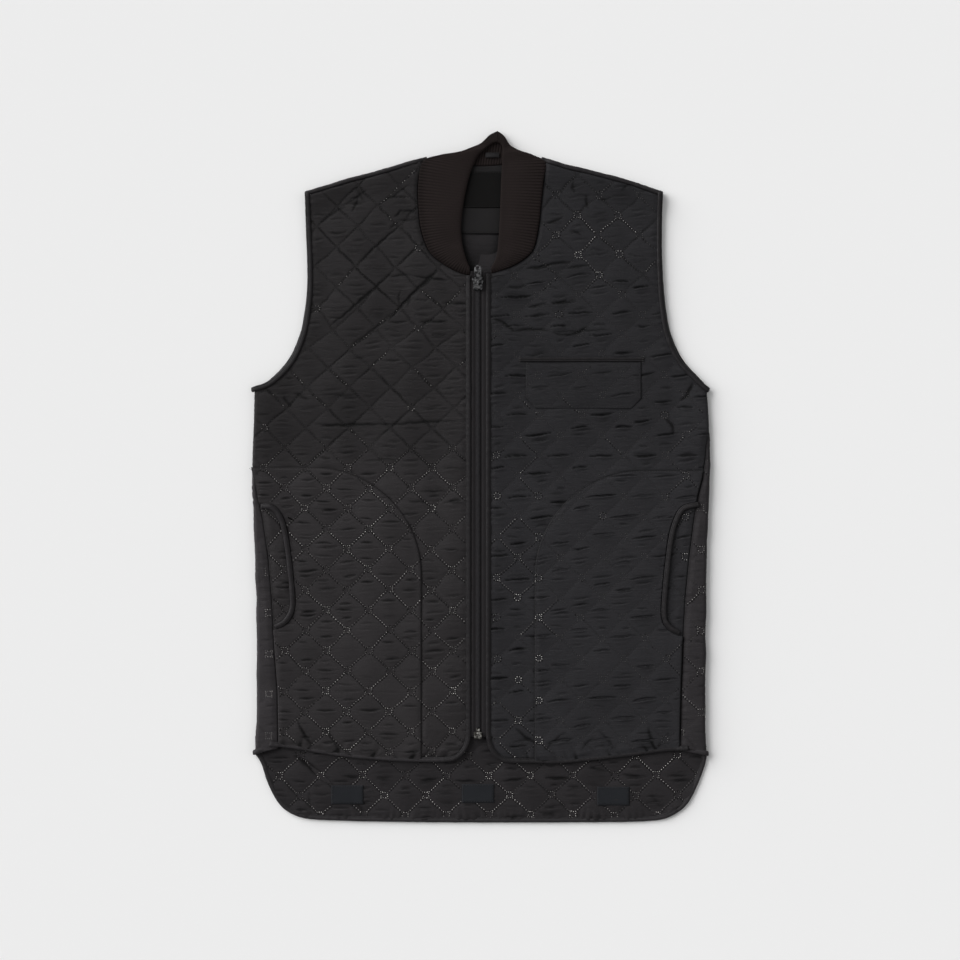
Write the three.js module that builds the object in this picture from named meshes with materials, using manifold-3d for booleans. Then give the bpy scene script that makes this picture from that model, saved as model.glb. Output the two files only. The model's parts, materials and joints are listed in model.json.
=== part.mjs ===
// Quilted thermal vest, zipped up and laid flat on a table, front side up.
//
// Frame: millimetres, +X to the wearer's left, +Y towards the collar, +Z up from the table. The
// origin is under the middle of the garment. The back lies on the table and turns up round both
// sides and both shoulders on to the top; the two fronts lie on it, closed by a zip.
import * as THREE from "three";
import { mergeVertices } from "three/addons/utils/BufferGeometryUtils.js";
import Module from "manifold-3d";

const wasm = await Module();
wasm.setup();

// ---- driving dimensions -------------------------------------------------------------------

const SEAM = 0.3; // clearance where two pieces meet
const QUILT = 3; // quilted cloth
const POCKET_QUILT = 2.4; // the lighter quilt of the patch pockets
const AIR = 0.9; // between the back and the fronts, where they lie closest
const FOLD_RISE = 2.3; // how much higher the fronts lie beside a fold
const ZIP_RISE = 1.6; // how much higher they lie beside the zip
const FOLD_RADIUS = (2 * QUILT + AIR + FOLD_RISE) / 2; // outside of the rounded side folds

const BINDING = { width: 6, height: 3.4, turn: 3.25 }; // tape over a raw edge; radius of its turns
const PIPING = { width: 6, height: 3 };
const SHOULDER_SEAM = 6; // the back's turn-over in front of the shoulder fold

const ZIP_X = -4.7;
const TAPE = { top: 244, bottom: -301, thick: 1, under: 0.4 };
const COIL = { top: 236.2, bottom: -297, size: 2.2, apart: 0.3 };
const SPREAD = { by: 1.6, from: 225, to: 232 }; // the coils part round the slider's post
const SLIDER = { bottom: 221.5, top: 236.5, plate: 1.3, post: 2, postFrom: 233.2, postTo: 235.8 };
const SLIDER_HALF_WIDTH = [
  { y: 221.5, half: 4.4 },
  { y: 223, half: 5.2 },
  { y: 229, half: 5.6 },
  { y: 233.4, half: 7 },
  { y: 235.4, half: 6.4 },
  { y: 236.5, half: 4.4 },
];
const BAIL = { y: 230, length: 8.4, wide: 2.2, bar: 1.2, window: 2.2, shoulder: 1, foot: 0.2 };
const PULL = {
  half: 4,
  neck: 5,
  widest: 10,
  tip: 20.5,
  thick: 1.6,
  armFrom: 1.6,
  armTo: 3,
  pin: 0.7,
};
const PULL_HOLE = { y: 17.6, radius: 1.6 };
const PULL_INSET = { from: 7.6, to: 14.6, half: 2.3, high: 0.3 };
const STOP = { from: 236.8, to: 239.8, wide: 2.4 };
const BOX = { wide: 9, top: -302, bottom: -310, high: 4.6, slot: 5.5 };
const PIN = { wide: 1.8, high: 2, top: -297.3, foot: -306.6 };

const POCKET_RADIUS = 128; // the inner top corner of each patch pocket
const FLAP = { from: 52, to: 189, top: 136, bottom: 81, chamfer: 12, thick: 1.6 };
const WELT = { from: 44, to: 192, bottom: 136.6, top: 141.6, thick: 1.8 };
const PATCH = { wide: 38, long: 22, thick: 0.8 };
const COLLAR = { low: 5.2, seam: 3.4, full: 5, fold: 3.8, stand: 4.4, rim: 3.2 };
const FACING = { x: 3, y: 366, halfWidth: 61, drop: 78, thick: 0.8 }; // inside the back of the neck
const LABEL = { x: 3, y: 340.5, wide: 66, long: 43, thick: 0.5 };
const LOOP = { from: 4.5, to: 20.5, y: 381.5, wide: 6, thick: 0.8, arch: 0.7 };

// The wearer's right side is at -X. Every distance in the tables is measured out from the
// garment's middle line, and "right" and "left" are the wearer's.
const SIDES = [
  { name: "right", sign: -1 },
  { name: "left", sign: 1 },
];

// Side folds of the laid garment, from the hem up to the underarm.
const SIDE_EDGE = [
  { y: -329, right: 269.8, left: 266.5 },
  { y: -291, right: 265.9, left: 264.6 },
  { y: -187, right: 265.7, left: 266.2 },
  { y: -97, right: 268.4, left: 267 },
  { y: 15, right: 272, left: 272 },
  { y: 66, right: 269.6, left: 270 },
  { y: 106, right: 269.2, left: 267 },
];

// Side seam. It lies on the front low down, and reaches the fold higher up.
const SIDE_SEAM = [
  { y: -329, right: 241, left: 234.4 },
  { y: -254, right: 242, left: 236 },
  { y: -200, right: 246, left: 238 },
  { y: -146, right: 249, left: 241 },
  { y: -97, right: 253, left: 245.6 },
  { y: -50, right: 259.7, left: 251.4 },
  { y: -25, right: 265.2, left: 255 },
  { y: -2, right: 269.6, left: 261 },
  { y: 20, right: 273, left: 264.8 },
  { y: 36, right: 273, left: 265.8 },
  { y: 48, right: 273, left: 268.4 },
  { y: 62, right: 273, left: 273 },
];

// Outer edge of the armhole binding on the fronts; "back" is how far the back's edge shows past it.
const ARMHOLE = [
  { y: 107, right: 268.4, left: 266.6, back: 0 },
  { y: 115, right: 250, left: 257.6, back: 2 },
  { y: 139, right: 228, left: 236.8, back: 2.4 },
  { y: 169, right: 214, left: 224.6, back: 1.6 },
  { y: 198, right: 208.6, left: 218.8, back: 1.2 },
  { y: 227, right: 205.8, left: 215.8, back: 0.8 },
  { y: 262, right: 206, left: 214.5, back: 0.6 },
  { y: 298, right: 207.6, left: 214.3, back: 0.4 },
  { y: 335, right: 209, left: 215.5, back: 0 },
];

// Shoulder fold, from the tip in to the collar.
const SHOULDER = [
  { right: [210, 337.5], left: [216.5, 337.3] },
  { right: [156, 354], left: [179, 350] },
  { right: [112, 365], left: [125, 364.6] },
  { right: [66, 378.6], left: [72, 378.6] },
];

// Lower edge of each front's hem.
const HEM = [
  { out: 60, right: -334.2, left: -336.6 },
  { out: 90, right: -333.6, left: -337.6 },
  { out: 125, right: -332, left: -334.4 },
  { out: 170, right: -328, left: -329 },
  { out: 214, right: -322.4, left: -323 },
  { out: 242, right: -320, left: -322.6 },
];
const FRONT_EDGE = { right: 12.8, left: 5 }; // the side of each front binding that faces the zip
const FRONT_CORNER = { wide: 28, high: 34, foot: 0.4 }; // where the front edge turns into the hem

// Edge of the tail, the part of the back that hangs below the fronts.
const TAIL = [
  { right: [269.6, -328], left: [267.6, -328] },
  { right: [261.5, -340], left: [264.5, -342] },
  { right: [254.4, -360], left: [257.4, -360] },
  { right: [243.4, -381.6], left: [247, -381] },
  { right: [231, -394.6], left: [235, -394.6] },
  { right: [214, -403.4], left: [217, -404] },
  { right: [190, -407], left: [190, -407.4] },
  { right: [120, -408.4], left: [120, -408.4] },
];
const TAIL_BOTTOM = -410;
const TAIL_PATCHES = [
  { name: "hem_patch_right", x: -159.5, y: -377 },
  { name: "hem_patch_middle", x: -4.5, y: -375.4 },
  { name: "hem_patch_left", x: 156, y: -378.6 },
];

// Patch pockets: the straight inner edge, and the height of the top seam.
const POCKET = { edge: { right: 71.6, left: 62.4 }, top: { right: 11.7, left: 8.4 } };

// Outer edge of the piping round each hand opening.
const HAND_OPENING = [
  { right: [261, -31], left: [256, -29] },
  { right: [249, -32], left: [237.5, -34] },
  { right: [238.6, -41], left: [227.4, -49] },
  { right: [231, -60], left: [220.6, -74] },
  { right: [225.4, -95], left: [215.6, -115] },
  { right: [221, -141], left: [212.6, -152] },
  { right: [222.4, -160], left: [213.6, -170] },
  { right: [231, -174], left: [220.6, -181] },
  { right: [243, -181], left: [232.5, -188] },
];

// The ribbed collar at one section after another, from the zip round to the top of the neck:
// the seam to the vest, and the free folded edge.
const COLLAR_SECTIONS = {
  right: [
    { seam: [14.5, 239.3], edge: [14.3, 248] },
    { seam: [27, 242.6], edge: [18.3, 258] },
    { seam: [45, 252.5], edge: [21.4, 269] },
    { seam: [61.6, 267], edge: [23.5, 280] },
    { seam: [71.6, 292.5], edge: [24.4, 297] },
    { seam: [75, 321.5], edge: [22.4, 318] },
    { seam: [75, 350], edge: [18.2, 342] },
    { seam: [69.6, 374], edge: [12.5, 363] },
    { seam: [50, 381.6], edge: [5, 379.5] },
    { seam: [25, 386], edge: [-2, 387] },
    { seam: [2, 395], edge: [-8.5, 392.6] },
    { seam: [-9, 405], edge: [-13.5, 395.6] },
    { seam: [-18.9, 410], edge: [-18.4, 396.6] },
  ],
  left: [
    { seam: [11.4, 241.3], edge: [11.2, 248] },
    { seam: [34, 249], edge: [16.2, 258] },
    { seam: [52, 260], edge: [18.6, 268] },
    { seam: [62, 272.6], edge: [19.8, 281] },
    { seam: [67.7, 300], edge: [21.2, 303] },
    { seam: [70, 321], edge: [22, 324] },
    { seam: [73, 350], edge: [23, 350] },
    { seam: [75.4, 372], edge: [24, 370] },
    { seam: [60, 382], edge: [24.4, 379] },
    { seam: [45, 387], edge: [24.8, 385] },
    { seam: [34, 393], edge: [24.8, 390] },
    { seam: [26.6, 404], edge: [22.4, 394.6] },
    { seam: [18.5, 410], edge: [18, 396.6] },
  ],
};
const NECK_SECTIONS = 8; // the first sections of the collar are sewn to the fronts
const BACK_NECK = { x: 2.5, half: 62.5, y: 369, rise: 7 }; // the back's neck seam, lowest at x
const COLLAR_FOOT = { right: [67.4, 377], left: [73, 377] }; // where the collar meets the shoulders

// ---- finishes -----------------------------------------------------------------------------

const finish = (color, roughness, metalness = 0) => () =>
  new THREE.MeshStandardMaterial({ color, roughness, metalness });
const shellCloth = finish(0x2b292a, 0.5);
const bindingCloth = finish(0x232223, 0.45);
const ribKnit = finish(0x231e1b, 0.85);
const liningCloth = finish(0x242324, 0.6);
const labelCloth = finish(0x141311, 0.7);
const patchCloth = finish(0x191a20, 0.6);
const zipTape = finish(0x212024, 0.75);
const zipCoil = finish(0x1b1b1e, 0.4);
const zipMetal = finish(0x6c6c70, 0.35, 0.9);

// ---- lines in plan ------------------------------------------------------------------------

const v2 = (x, y) => new THREE.Vector2(x, y);
const v3 = (x, y, z) => new THREE.Vector3(x, y, z);

// A table with a row for each y, read at any y.
function read(table, column, y) {
  const low = table.findLastIndex((row) => row.y <= y);
  const a = table[Math.max(0, Math.min(low, table.length - 2))];
  const b = table[table.indexOf(a) + 1];
  return THREE.MathUtils.mapLinear(y, a.y, b.y, a[column], b[column]);
}

// A smooth line through a few points, resampled at even steps.
function smoothLine(points, steps) {
  return new THREE.SplineCurve(points).getSpacedPoints(steps);
}

const rectangle = (x0, y0, x1, y1) => [v2(x0, y0), v2(x1, y0), v2(x1, y1), v2(x0, y1)];
const centredRectangle = (x, y, wide, long) =>
  rectangle(x - wide / 2, y - long / 2, x + wide / 2, y + long / 2);

// The same line moved sideways, to the left of its direction, by a distance.
function offsetLine(points, distance) {
  return points.map((p, i) => {
    const before = points[Math.max(0, i - 1)];
    const after = points[Math.min(points.length - 1, i + 1)];
    const along = after.clone().sub(before).normalize();
    return v2(p.x - along.y * distance, p.y + along.x * distance);
  });
}

const mirrored = (side, points) => points.map((p) => v2(side.sign * p.x, p.y));
const column = (table, side) => table.map((row) => v2(...row[side.name]));
const levels = (from, to, count) =>
  Array.from({ length: count + 1 }, (_, i) => THREE.MathUtils.lerp(from, to, i / count));

// Lines of one side of the vest, with x measured out from the middle.
const armholeLine = (side, extra = 0) =>
  smoothLine(
    ARMHOLE.map((row) => v2(row[side.name] + extra * row.back, row.y)),
    20,
  );
const shoulderLine = (side, from, to) =>
  levels(from, to, 6).map((out) => v2(out, shoulderHeight(side.sign * out)));
const neckLine = (side) =>
  COLLAR_SECTIONS[side.name].slice(0, NECK_SECTIONS).map((row) => v2(...row.seam));
const hemEnd = (side) => v2(HEM.at(-1).out, HEM.at(-1)[side.name]);
const tailLine = (side) => {
  const rows = column(TAIL, side);
  const beyond = v2(-rows.at(-1).x, rows.at(-1).y);
  return smoothLine([...rows, v2(0, TAIL_BOTTOM), beyond], 36).filter((p) => p.x >= 0);
};
const sideEdge = (side, y) => read(SIDE_EDGE, side.name, y);
const sideSeam = (side, y) => {
  const last = SIDE_SEAM.at(-1).y;
  return Math.min(read(SIDE_SEAM, side.name, Math.min(y, last)), sideEdge(side, y));
};

// ---- how high the fronts lie --------------------------------------------------------------

const smooth = THREE.MathUtils.smoothstep;
const SIDE_SLOPE = { from: 222, to: 262 };
const ZIP_SLOPE = { from: 12, to: 60 };
const SHOULDER_SLOPE = 34;

function shoulderHeight(x) {
  const rows = SHOULDER.map((row) => row[x < 0 ? "right" : "left"]).map(([out, y]) => ({
    y: -out,
    height: y,
  }));
  return read(rows, "height", -Math.abs(x));
}

// Underside of the fronts. They lie on the back, and rise to the folds and to the zip.
function restHeight(x, y) {
  const bySide = FOLD_RISE * smooth(Math.abs(x), SIDE_SLOPE.from, SIDE_SLOPE.to);
  const byZip = ZIP_RISE * (1 - smooth(Math.abs(x - ZIP_X), ZIP_SLOPE.from, ZIP_SLOPE.to));
  const below = shoulderHeight(x) - y;
  const byShoulder = FOLD_RISE * (1 - smooth(below, SHOULDER_SEAM, SHOULDER_SLOPE));
  return QUILT + AIR + Math.max(bySide, byZip, byShoulder);
}

// Every front piece is cut from one grid, so pieces that lie on each other stay parallel.
const GRID_X = [
  ...[-280, -262, -254, -245, -236, -222, -160, -110],
  ...[-60, -48, -36, -24, -12, 12, 24, 36, 48, 60].map((x) => x + ZIP_X),
  ...[110, 160, 222, 236, 245, 254, 262, 280],
];
const GRID_Y = [-345, -230, -115, 0, 115, 230, 290, 305, 318, 330, 342, 354, 366, 385];

// ---- solids -------------------------------------------------------------------------------

// A closed geometry as a solid that can be joined and cut.
function solid(geometry) {
  const bare = geometry.index ? geometry.toNonIndexed() : geometry;
  bare.deleteAttribute("normal");
  bare.deleteAttribute("uv");
  const merged = mergeVertices(bare, 1e-4);
  return new wasm.Manifold(
    new wasm.Mesh({
      numProp: 3,
      vertProperties: merged.attributes.position.array,
      triVerts: new Uint32Array(merged.index.array),
    }),
  );
}

const join = (...solids) => solids.reduce((all, next) => all.add(next));

function mesh(name, body, material) {
  const { vertProperties, triVerts } = body.getMesh();
  const geometry = new THREE.BufferGeometry();
  geometry.setAttribute("position", new THREE.BufferAttribute(vertProperties, 3));
  geometry.setIndex(new THREE.BufferAttribute(triVerts, 1));
  geometry.computeVertexNormals();
  const made = new THREE.Mesh(geometry, material());
  made.name = name;
  return made;
}

function fromFaces(points, faces) {
  const geometry = new THREE.BufferGeometry().setFromPoints(points);
  geometry.setIndex(faces);
  const made = solid(geometry);
  return made.volume() < 0 ? fromFaces(points, faces.toReversed()) : made;
}

// An outline in plan, as a straight-sided block from one height to another.
function prism(outline, low = -5, high = 30) {
  const geometry = new THREE.ExtrudeGeometry(new THREE.Shape(outline), {
    depth: high - low,
    bevelEnabled: false,
  });
  return solid(geometry.translate(0, 0, low));
}

// A wall between two surfaces, each a list of rows with equally many points.
function wall(outer, inner) {
  const rows = outer.length;
  const width = outer[0].length;
  const points = [...outer.flat(), ...inner.flat()];
  const id = (layer, row, i) => (layer * rows + row) * width + i;
  const last = width - 1;
  const faces = [];
  const quad = (a, b, c, d) => faces.push(a, b, c, a, c, d);
  for (let r = 0; r + 1 < rows; r++) {
    for (let i = 0; i + 1 < width; i++) {
      quad(id(0, r, i), id(0, r, i + 1), id(0, r + 1, i + 1), id(0, r + 1, i));
      quad(id(1, r + 1, i), id(1, r + 1, i + 1), id(1, r, i + 1), id(1, r, i));
    }
    quad(id(0, r, 0), id(0, r + 1, 0), id(1, r + 1, 0), id(1, r, 0));
    quad(id(1, r, last), id(1, r + 1, last), id(0, r + 1, last), id(0, r, last));
  }
  for (let i = 0; i + 1 < width; i++) {
    quad(id(1, 0, i), id(1, 0, i + 1), id(0, 0, i + 1), id(0, 0, i));
    quad(id(0, rows - 1, i), id(0, rows - 1, i + 1), id(1, rows - 1, i + 1), id(1, rows - 1, i));
  }
  return fromFaces(points, faces);
}

// A strip through a list of closed rings, each a convex loop of equally many points.
function strip(rings) {
  const size = rings[0].length;
  const faces = [];
  for (let r = 0; r + 1 < rings.length; r++) {
    for (let i = 0; i < size; i++) {
      const a = r * size + i;
      const b = r * size + ((i + 1) % size);
      faces.push(a, b, b + size, a, b + size, a + size);
    }
  }
  const last = (rings.length - 1) * size;
  for (let i = 1; i + 1 < size; i++) {
    faces.push(0, i + 1, i, last, last + i, last + i + 1);
  }
  return fromFaces(rings.flat(), faces);
}

// Cloth cut to an outline, lying on the fronts' grid: lift is the gap below it.
function laidCloth(outline, lift, thickness) {
  const surface = (height) =>
    GRID_Y.map((y) => GRID_X.map((x) => v3(x, y, restHeight(x, y) + height)));
  return wall(surface(lift + thickness), surface(lift)).intersect(prism(outline));
}

// The eight-sided section of a folded tape, carried along a line in plan, with a height for
// each point.
function tapeStrip(line, height, { width, height: thick }) {
  const angles = levels(Math.PI / 8, Math.PI / 8 + (Math.PI * 7) / 4, 7);
  const scale = 1 / Math.cos(Math.PI / 8);
  const outer = offsetLine(line, 1);
  return strip(
    line.map((p, i) => {
      const across = outer[i].clone().sub(p);
      return angles.map((angle) => {
        const sideways = (width / 2) * scale * Math.cos(angle);
        const up = (thick / 2) * scale * Math.sin(angle);
        return v3(p.x + across.x * sideways, p.y + across.y * sideways, height(p) + up);
      });
    }),
  );
}

// The turn of a folded tape, where its upper stretch passes into its lower one.
function tapeTurn(p) {
  const low = SEAM;
  const high = frontTapeHeight(p) + BINDING.height / 2 - SEAM;
  const geometry = new THREE.CylinderGeometry(BINDING.turn, BINDING.turn, high - low, 12);
  return solid(geometry.rotateX(Math.PI / 2).translate(p.x, p.y, (low + high) / 2));
}

const frontTapeHeight = (p) => restHeight(p.x, p.y) + QUILT / 2;
const backTapeHeight = () => BINDING.height / 2;

// One section of a fold: from the table, round the outside and on along the top. A point is given
// by its length along the outside, from the fold's lowest line. Returns outer and inner points.
const HALF_TURN = Math.PI * FOLD_RADIUS;
function foldSection(edge, inward, from, to, steps) {
  const place = (inset, z) => v3(edge.x + inward.x * inset, edge.y + inward.y * inset, z);
  const both = levels(from, to, steps).map((s) => {
    if (s <= HALF_TURN) {
      const angle = s / FOLD_RADIUS - Math.PI / 2;
      const ring = (r) =>
        place(FOLD_RADIUS - r * Math.cos(angle), FOLD_RADIUS + r * Math.sin(angle));
      return [ring(FOLD_RADIUS), ring(FOLD_RADIUS - QUILT)];
    }
    const on = place(FOLD_RADIUS + s - HALF_TURN, 0);
    const z = Math.min(restHeight(on.x, on.y), 2 * FOLD_RADIUS - QUILT);
    return [on.clone().setZ(z + QUILT), on.clone().setZ(z)];
  });
  return { outer: both.map((pair) => pair[0]), inner: both.map((pair) => pair[1]) };
}

function foldWall(sections) {
  return wall(sections.map((s) => s.outer), sections.map((s) => s.inner));
}

// Length along the fold's outside at which a line that far in from the edge is met.
function lengthAtInset(inset) {
  return inset < FOLD_RADIUS
    ? FOLD_RADIUS * (Math.PI / 2 + Math.acos(1 - Math.max(0, inset) / FOLD_RADIUS))
    : HALF_TURN + inset - FOLD_RADIUS;
}

// ---- the back -----------------------------------------------------------------------------

const OVERLAP = 0.6; // how far joined pieces of one cloth reach into each other
const BOUND = BINDING.width + SEAM; // from a bound edge in to the cloth
const UNDERARM_Y = ARMHOLE[0].y - BOUND - 1;
const STRIP_END_Y = TAIL[0].right[1] + BOUND - 0.5;
const FOLD_ROWS = [-250, -180, -110, -50, -25, -2, 20, 36, 48, 62, 80, UNDERARM_Y];
const seamInset = (side, y) => sideEdge(side, y) - sideSeam(side, y);
const shoulderStart = (side) => SHOULDER[0][side.name][0] - BOUND;
const shoulderEnd = (side) => neckLine(side).at(-1).x + SHOULDER_SEAM / 2;

function sideFold(side) {
  const sections = [STRIP_END_Y, ...FOLD_ROWS].map((y) => {
    const edge = v2(side.sign * sideEdge(side, y), y);
    const seam = lengthAtInset(seamInset(side, y)) - SEAM / 2;
    return foldSection(edge, v2(-side.sign, 0), 0, seam, 10);
  });
  return foldWall(sections).subtract(hemStubRoom(side));
}

// What lies below the bound hem of the turned-up side, on top of the back.
function hemStubRoom(side) {
  const [seam, fold] = [hemEnd(side), v2(...TAIL[0][side.name])];
  const slope = (fold.y - seam.y) / (fold.x - seam.x);
  const at = (x) => v2(x, seam.y + slope * (x - seam.x) + BOUND * Math.hypot(1, slope));
  const [from, to] = [seam.x - 2 * BOUND, fold.x + BOUND];
  const outline = [at(from), at(to), v2(to, TAIL_BOTTOM), v2(from, TAIL_BOTTOM)];
  return prism(mirrored(side, outline), QUILT + SEAM);
}

function shoulderFold(side) {
  const line = mirrored(side, shoulderLine(side, shoulderStart(side), shoulderEnd(side)));
  const inward = offsetLine(line, side.sign).map((p, i) => p.sub(line[i]));
  const seam = HALF_TURN + SHOULDER_SEAM - FOLD_RADIUS - SEAM / 2;
  return foldWall(line.map((p, i) => foldSection(p, inward[i], 0, seam, 8)));
}

// The back's neck seam, from the left shoulder to the right, moved up by a distance.
function backNeck(up) {
  const { x, half, y, rise } = BACK_NECK;
  return smoothLine([v2(x + half, y + rise + up), v2(x, y + up), v2(x - half, y + rise + up)], 8);
}

function backPanel() {
  const inset = FOLD_RADIUS - OVERLAP;
  const half = (side) => [
    ...offsetLine(tailLine(side), -BOUND).filter((p) => p.y < STRIP_END_Y - BOUND).reverse(),
    ...levels(STRIP_END_Y, UNDERARM_Y, 10).map((y) => v2(sideEdge(side, y) - inset, y)),
    ...armholeInset(side, 1, inset),
    ...offsetLine(shoulderLine(side, shoulderStart(side), shoulderEnd(side)), inset),
  ];
  const outline = [
    ...mirrored(SIDES[1], half(SIDES[1])),
    ...backNeck(-SEAM),
    ...mirrored(SIDES[0], half(SIDES[0])).reverse(),
  ];
  return join(prism(outline, 0, QUILT), ...SIDES.flatMap((s) => [sideFold(s), shoulderFold(s)]));
}

// The cloth's edge along the armhole, between the side fold and the shoulder fold.
function armholeInset(side, extra, fromFold) {
  return offsetLine(armholeLine(side, extra), BOUND).filter(
    (p) => p.x < sideEdge(side, p.y) - fromFold && p.y < SHOULDER[0][side.name][1] - BOUND,
  );
}

function backFacing() {
  const { x, y, halfWidth, drop, thick } = FACING;
  const curve = levels(0, Math.PI, 14).map((a) =>
    v2(x - halfWidth * Math.cos(a), y - drop * Math.sin(a)),
  );
  const top = backNeck(-2 * SEAM).filter((p) => Math.abs(p.x - x) < halfWidth);
  return prism([...curve, ...top], QUILT + SEAM, QUILT + SEAM + thick);
}

function neckLabel() {
  const { x, y, wide, long, thick } = LABEL;
  const low = QUILT + FACING.thick + 2 * SEAM;
  return prism(centredRectangle(x, y, wide, long), low, low + thick);
}

function tailPatch({ x, y }) {
  const { wide, long, thick } = PATCH;
  return prism(centredRectangle(x, y, wide, long), QUILT + SEAM, QUILT + SEAM + thick);
}

// ---- the fronts ---------------------------------------------------------------------------

// The bound edge of a front: down beside the zip, round the corner and out along the hem.
function frontEdge(side) {
  const edge = FRONT_EDGE[side.name];
  const { wide, high, foot } = FRONT_CORNER;
  const bottom = HEM[0][side.name] + foot;
  const corner = levels(0, Math.PI / 2, 6).map((a) =>
    v2(edge + wide * (1 - Math.cos(a)), bottom + high * (1 - Math.sin(a))),
  );
  const rows = HEM.map((row) => v2(row.out, row[side.name]));
  rows.at(-1).x = sideSeam(side, rows.at(-1).y) - SEAM / 2;
  const hem = smoothLine([corner.at(-1), ...rows], 10);
  return [v2(edge, neckLine(side)[0].y - 2 * SEAM), ...corner, ...hem.slice(1)];
}

function frontOutline(side) {
  const fold = FOLD_RADIUS - OVERLAP;
  const seamSide = (y) => Math.min(sideSeam(side, y) - SEAM / 2, sideEdge(side, y) - fold);
  const hem = offsetLine(frontEdge(side), BOUND);
  const neck = offsetLine(neckLine(side), -SEAM).filter((p) => p.x > hem[0].x);
  const shoulder = offsetLine(
    shoulderLine(side, shoulderStart(side), shoulderEnd(side)),
    SHOULDER_SEAM + SEAM / 2,
  );
  const low = hem.filter((p) => p.x < seamSide(p.y));
  return [
    ...low,
    ...[low.at(-1).y + 1, ...FOLD_ROWS].map((y) => v2(seamSide(y), y)),
    ...armholeInset(side, 0, fold),
    ...shoulder,
    ...neck.filter((p) => p.y < shoulder.at(-1).y).reverse(),
  ];
}

// Where the side seam lies on the fold itself, the front turns down to meet it.
function frontTurn(side) {
  const rows = FOLD_ROWS.filter((y) => seamInset(side, y) < FOLD_RADIUS / 2 + SEAM);
  const sections = rows.map((y) => {
    const edge = v2(side.sign * sideEdge(side, y), y);
    const seam = lengthAtInset(seamInset(side, y)) + SEAM / 2;
    return foldSection(edge, v2(-side.sign, 0), seam, HALF_TURN + OVERLAP, 5);
  });
  return foldWall(sections);
}

const front = (side) =>
  join(laidCloth(mirrored(side, frontOutline(side)), 0, QUILT), frontTurn(side));

function frontBinding(side) {
  const line = offsetLine(frontEdge(side), BINDING.width / 2);
  return tapeStrip(mirrored(side, line), frontTapeHeight, BINDING);
}

// The armhole tape goes all round: up the front, over the shoulder and down the back.
function armholeBinding(side) {
  const line = (extra) => mirrored(side, offsetLine(armholeLine(side, extra), BINDING.width / 2));
  const [underarm, shoulder] = [line(0)[0], line(0).at(-1)];
  return join(
    tapeStrip(line(0), frontTapeHeight, BINDING),
    tapeStrip(line(1), backTapeHeight, BINDING),
    tapeTurn(underarm),
    tapeTurn(shoulder),
  );
}

// The tail's tape: along the tail's edge, and turned up at both sides on to the front.
function tailBinding() {
  const half = BINDING.width / 2;
  const [right, left] = SIDES.map((side) => mirrored(side, offsetLine(tailLine(side), -half)));
  const corners = [right[0], left[0]].map((p) => v2(p.x, p.y + 0.8));
  const stubs = SIDES.map((side, i) => {
    const seam = hemEnd(side);
    const start = v2(side.sign * (sideSeam(side, seam.y) + 3 * SEAM), seam.y + half);
    const middle = start.clone().lerp(corners[i], 0.5);
    return tapeStrip([start, middle, corners[i]], frontTapeHeight, BINDING);
  });
  const along = tapeStrip([...right, ...left.toReversed()], backTapeHeight, BINDING);
  return join(along, ...stubs, ...corners.map(tapeTurn));
}

// ---- pockets ------------------------------------------------------------------------------

const handOpening = (side) => smoothLine(column(HAND_OPENING, side), 16);

function pocketOutline(side) {
  const [edge, top] = [POCKET.edge[side.name], POCKET.top[side.name]];
  const centre = v2(edge + POCKET_RADIUS, top - POCKET_RADIUS);
  const arc = levels(Math.PI, Math.PI / 2, 12).map((a) =>
    v2(centre.x + POCKET_RADIUS * Math.cos(a), centre.y + POCKET_RADIUS * Math.sin(a)),
  );
  const seamSide = (y) =>
    v2(Math.min(sideSeam(side, y) - SEAM / 2, sideEdge(side, y) - FOLD_RADIUS - 1), y);
  const opening = handOpening(side);
  const hem = offsetLine(frontEdge(side), BOUND).filter((p) => p.x > edge);
  const low = hem.filter((p) => p.x < seamSide(p.y).x);
  return [
    v2(edge, low[0].y),
    ...arc,
    ...levels(top, opening[0].y + 1, 3).map(seamSide),
    ...opening,
    ...levels(opening.at(-1).y - 1, low.at(-1).y + 1, 4).map(seamSide),
    ...low.reverse(),
  ];
}

const pocket = (side) =>
  laidCloth(mirrored(side, pocketOutline(side)), QUILT + SEAM, POCKET_QUILT);

function pocketPiping(side) {
  const line = offsetLine(handOpening(side), SEAM + PIPING.width / 2);
  const onFront = (p) => restHeight(p.x, p.y) + QUILT + SEAM + PIPING.height / 2;
  return tapeStrip(mirrored(side, line), onFront, PIPING);
}

function chestFlap() {
  const { from, to, top, bottom, chamfer, thick } = FLAP;
  const outline = [
    v2(from, top),
    v2(from, bottom + chamfer),
    v2(from + chamfer, bottom),
    v2(to - chamfer, bottom),
    v2(to, bottom + chamfer),
    v2(to, top),
  ];
  return laidCloth(outline, QUILT + SEAM, thick);
}

const chestWelt = () =>
  laidCloth(rectangle(WELT.from, WELT.bottom, WELT.to, WELT.top), QUILT + SEAM, WELT.thick);

// ---- collar -------------------------------------------------------------------------------

// One side of the doubled rib: thin at the seam, full in the middle, rounded at the free edge.
function collarSide(side) {
  const { low, seam, full, fold } = COLLAR;
  const profile = [
    [0, 0.5],
    [0.06, 0],
    [0.95, 0],
    [1, fold / 2],
    [0.95, fold],
    [0.75, full - 0.2],
    [0.45, full],
    [0.12, seam],
    [0, seam - 0.5],
  ];
  const rings = COLLAR_SECTIONS[side.name].map((row) => {
    const [from, to] = mirrored(side, [v2(...row.seam), v2(...row.edge)]);
    return profile.map(([t, up]) => {
      const p = from.clone().lerp(to, t);
      return v3(p.x, p.y, low + up);
    });
  });
  return strip(rings);
}

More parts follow.
